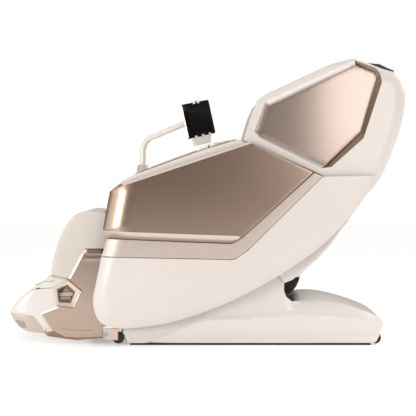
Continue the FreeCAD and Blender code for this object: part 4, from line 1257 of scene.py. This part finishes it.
def build_rollers():
    """The two rows of foot rollers on their pin."""
    profile = [(-12.5, 5), (-12.5, 11), (-9, 14.6), (-3, 16), (3, 16), (9, 14.6), (12.5, 11), (12.5, 5)]
    parts = [lathe(f"roller_{side}_{k}", profile, (side * (ROLLER_FIRST + ROLLER_PITCH * k), *ROLLER_AXIS),
                   (1, 0, 0), ["roller_plastic"], turns=36) for side in (1, -1) for k in range(ROLLER_COUNT)]
    parts.append(lathe("roller_pin", [(-211, 0), (-211, 5), (211, 5), (211, 0)], (0, *ROLLER_AXIS),
                       (1, 0, 0), ["bright_steel"], turns=24))
    mount(join("sole_rollers", parts), "foot_roller_set", ["foot_rollers"])


# ------------------------------------------------------------------ tablet and its holder

def build_tablet():
    """The tablet: a silver case and its glass, square to the axes of the holder's joints."""
    joints = {joint["name"]: joint for joint in frame["joints"]}
    wide = Vector(joints["tablet_tip"]["axis"]).normalized()
    tall = Vector(joints["jaw_open"]["axis"])
    tall = (tall - wide * tall.dot(wide)).normalized()
    out, centre = wide.cross(tall), Vector((-0.050, -0.030, 1.0))

    def slab(name, half_w, half_h, radius, low, high, material, bevel):
        corners = [(half_w, half_h, radius), (-half_w, half_h, radius), (-half_w, -half_h, radius),
                   (half_w, -half_h, radius)]
        flat = prism(name, corners, low * MM, high * MM, [material], bevel * MM, step=0.03)
        for v in flat.data.vertices:
            x, y, z = v.co
            v.co = centre + wide * y + tall * z + out * x
        finish_mesh(flat)
        return flat

    parts = [slab("case", 120, 80, 10, -4.5, 3.8, "silver", 1.8),
             slab("glass", 119.0, 79.0, 9.2, 3.2, 4.5, "screen_glass", 0.5)]
    mount(join("tablet_slate", parts), "tablet_head", ["tablet"])


def dress_cad():
    """Gives every CAD node the material of its slot."""
    slots = {row["node"]: row["material_slot"] for row in frame["record"]["subparts"]}
    for node, obj in frame["nodes"].items():
        obj.data.materials.clear()
        obj.data.materials.append(M[slots[node]])


# ------------------------------------------------------------------ stage

LIGHTS = [("strip", (3.2, -3.0, 0.9), (0.38, -0.4, 0.6), (1.45, 1.3), 46),
          ("wing", (2.0, -3.6, 0.9), (0.38, -0.4, 0.6), (2.2, 1.3), 18),
          ("rear", (-0.4, 3.1, 2.6), (0.0, 0.6, 0.2), (2.0, 2.0), 52),
          ("right", (5.0, 2.0, 1.4), (0.3, 0.5, 0.9), (2.05, 1.8), 44)]


def build_camera():
    """A long lens straight from the left side, tipped down a little."""
    camera = bpy.data.objects.new("camera", bpy.data.cameras.new("camera"))
    scene.collection.objects.link(camera)
    camera.location = (6.38, 0.015, 0.75)
    camera.data.lens = 120.7
    camera.data.sensor_width = 36
    look = Vector((-1, 0, -math.tan(math.radians(1.42))))
    camera.rotation_euler = look.to_track_quat("-Z", "Y").to_euler()
    scene.camera = camera


def build_floor():
    """A pale floor with a faint gloss, lit a little from within so that it stays nearly white."""
    n = Nodes("floor")
    n.tint([0.92, 0.92, 0.92, 1], n.noise(0.8, 2), 0.01)
    n.done(rough=n.band(n.noise(3, 2), 0.3, 0.7, 0.28, 0.36), Specular_IOR_Level=0.3,
           Emission_Color=(1, 1, 1, 1), Emission_Strength=0.32)
    mesh = bpy.data.meshes.new("floor")
    half = 14
    mesh.from_pydata([(-half, -half, 0), (half, -half, 0), (half, half, 0), (-half, half, 0)], [],
                     [(0, 1, 2, 3)])
    mesh.materials.append(n.material)
    floor = bpy.data.objects.new("floor", mesh)
    scene.collection.objects.link(floor)


def build_world():
    """A studio that is brighter above than below; the camera sees it as plain white."""
    world = bpy.data.worlds.new("studio")
    scene.world = world
    world.use_nodes = True
    tree = world.node_tree
    tree.nodes.clear()

    up = add_node(tree, "ShaderNodeSeparateXYZ",
                  {"Vector": add_node(tree, "ShaderNodeTexCoord").outputs["Generated"]}).outputs["Z"]
    glow = add_node(tree, "ShaderNodeMapRange", {"Value": up, "From Min": 0.0, "From Max": 1.0,
                                                 "To Min": 0.16, "To Max": 1.24}).outputs["Result"]
    sky = add_node(tree, "ShaderNodeBackground", {"Color": (1.0, 0.99, 0.98, 1), "Strength": glow})
    white = add_node(tree, "ShaderNodeBackground", {"Color": (1, 1, 1, 1), "Strength": 1.0})
    seen = add_node(tree, "ShaderNodeLightPath").outputs["Is Camera Ray"]
    mix = add_node(tree, "ShaderNodeMixShader", {0: seen, 1: sky.outputs[0], 2: white.outputs[0]})
    add_node(tree, "ShaderNodeOutputWorld", {0: mix.outputs[0]})


def build_lights():
    """Soft rectangular lights: name, place, target, size and power."""
    for name, place, target, size, power in LIGHTS:
        data = bpy.data.lights.new(name, "AREA")
        data.shape = "RECTANGLE"
        data.size, data.size_y = size
        data.energy = power
        light = bpy.data.objects.new(name, data)
        scene.collection.objects.link(light)
        light.location = place
        light.rotation_euler = (Vector(target) - Vector(place)).to_track_quat("-Z", "Y").to_euler()


build_camera()
build_floor()
build_world()
build_lights()
dress_cad()
build_shells()
build_arm_panels()
build_arms()
build_armrests()
build_wings()
build_back_cover()
build_gaiter()
build_back_pads()
build_top_cap()
build_seat()
build_base()
wheel("wheels_front", -0.378, "front_wheel_set", "front_wheels")
wheel("wheels_rear", 0.748, "rear_wheel_set", "rear_wheels")
build_leg_rest()
build_leg_panels()
build_foot_rest()
build_rollers()
build_tablet()
inflate()
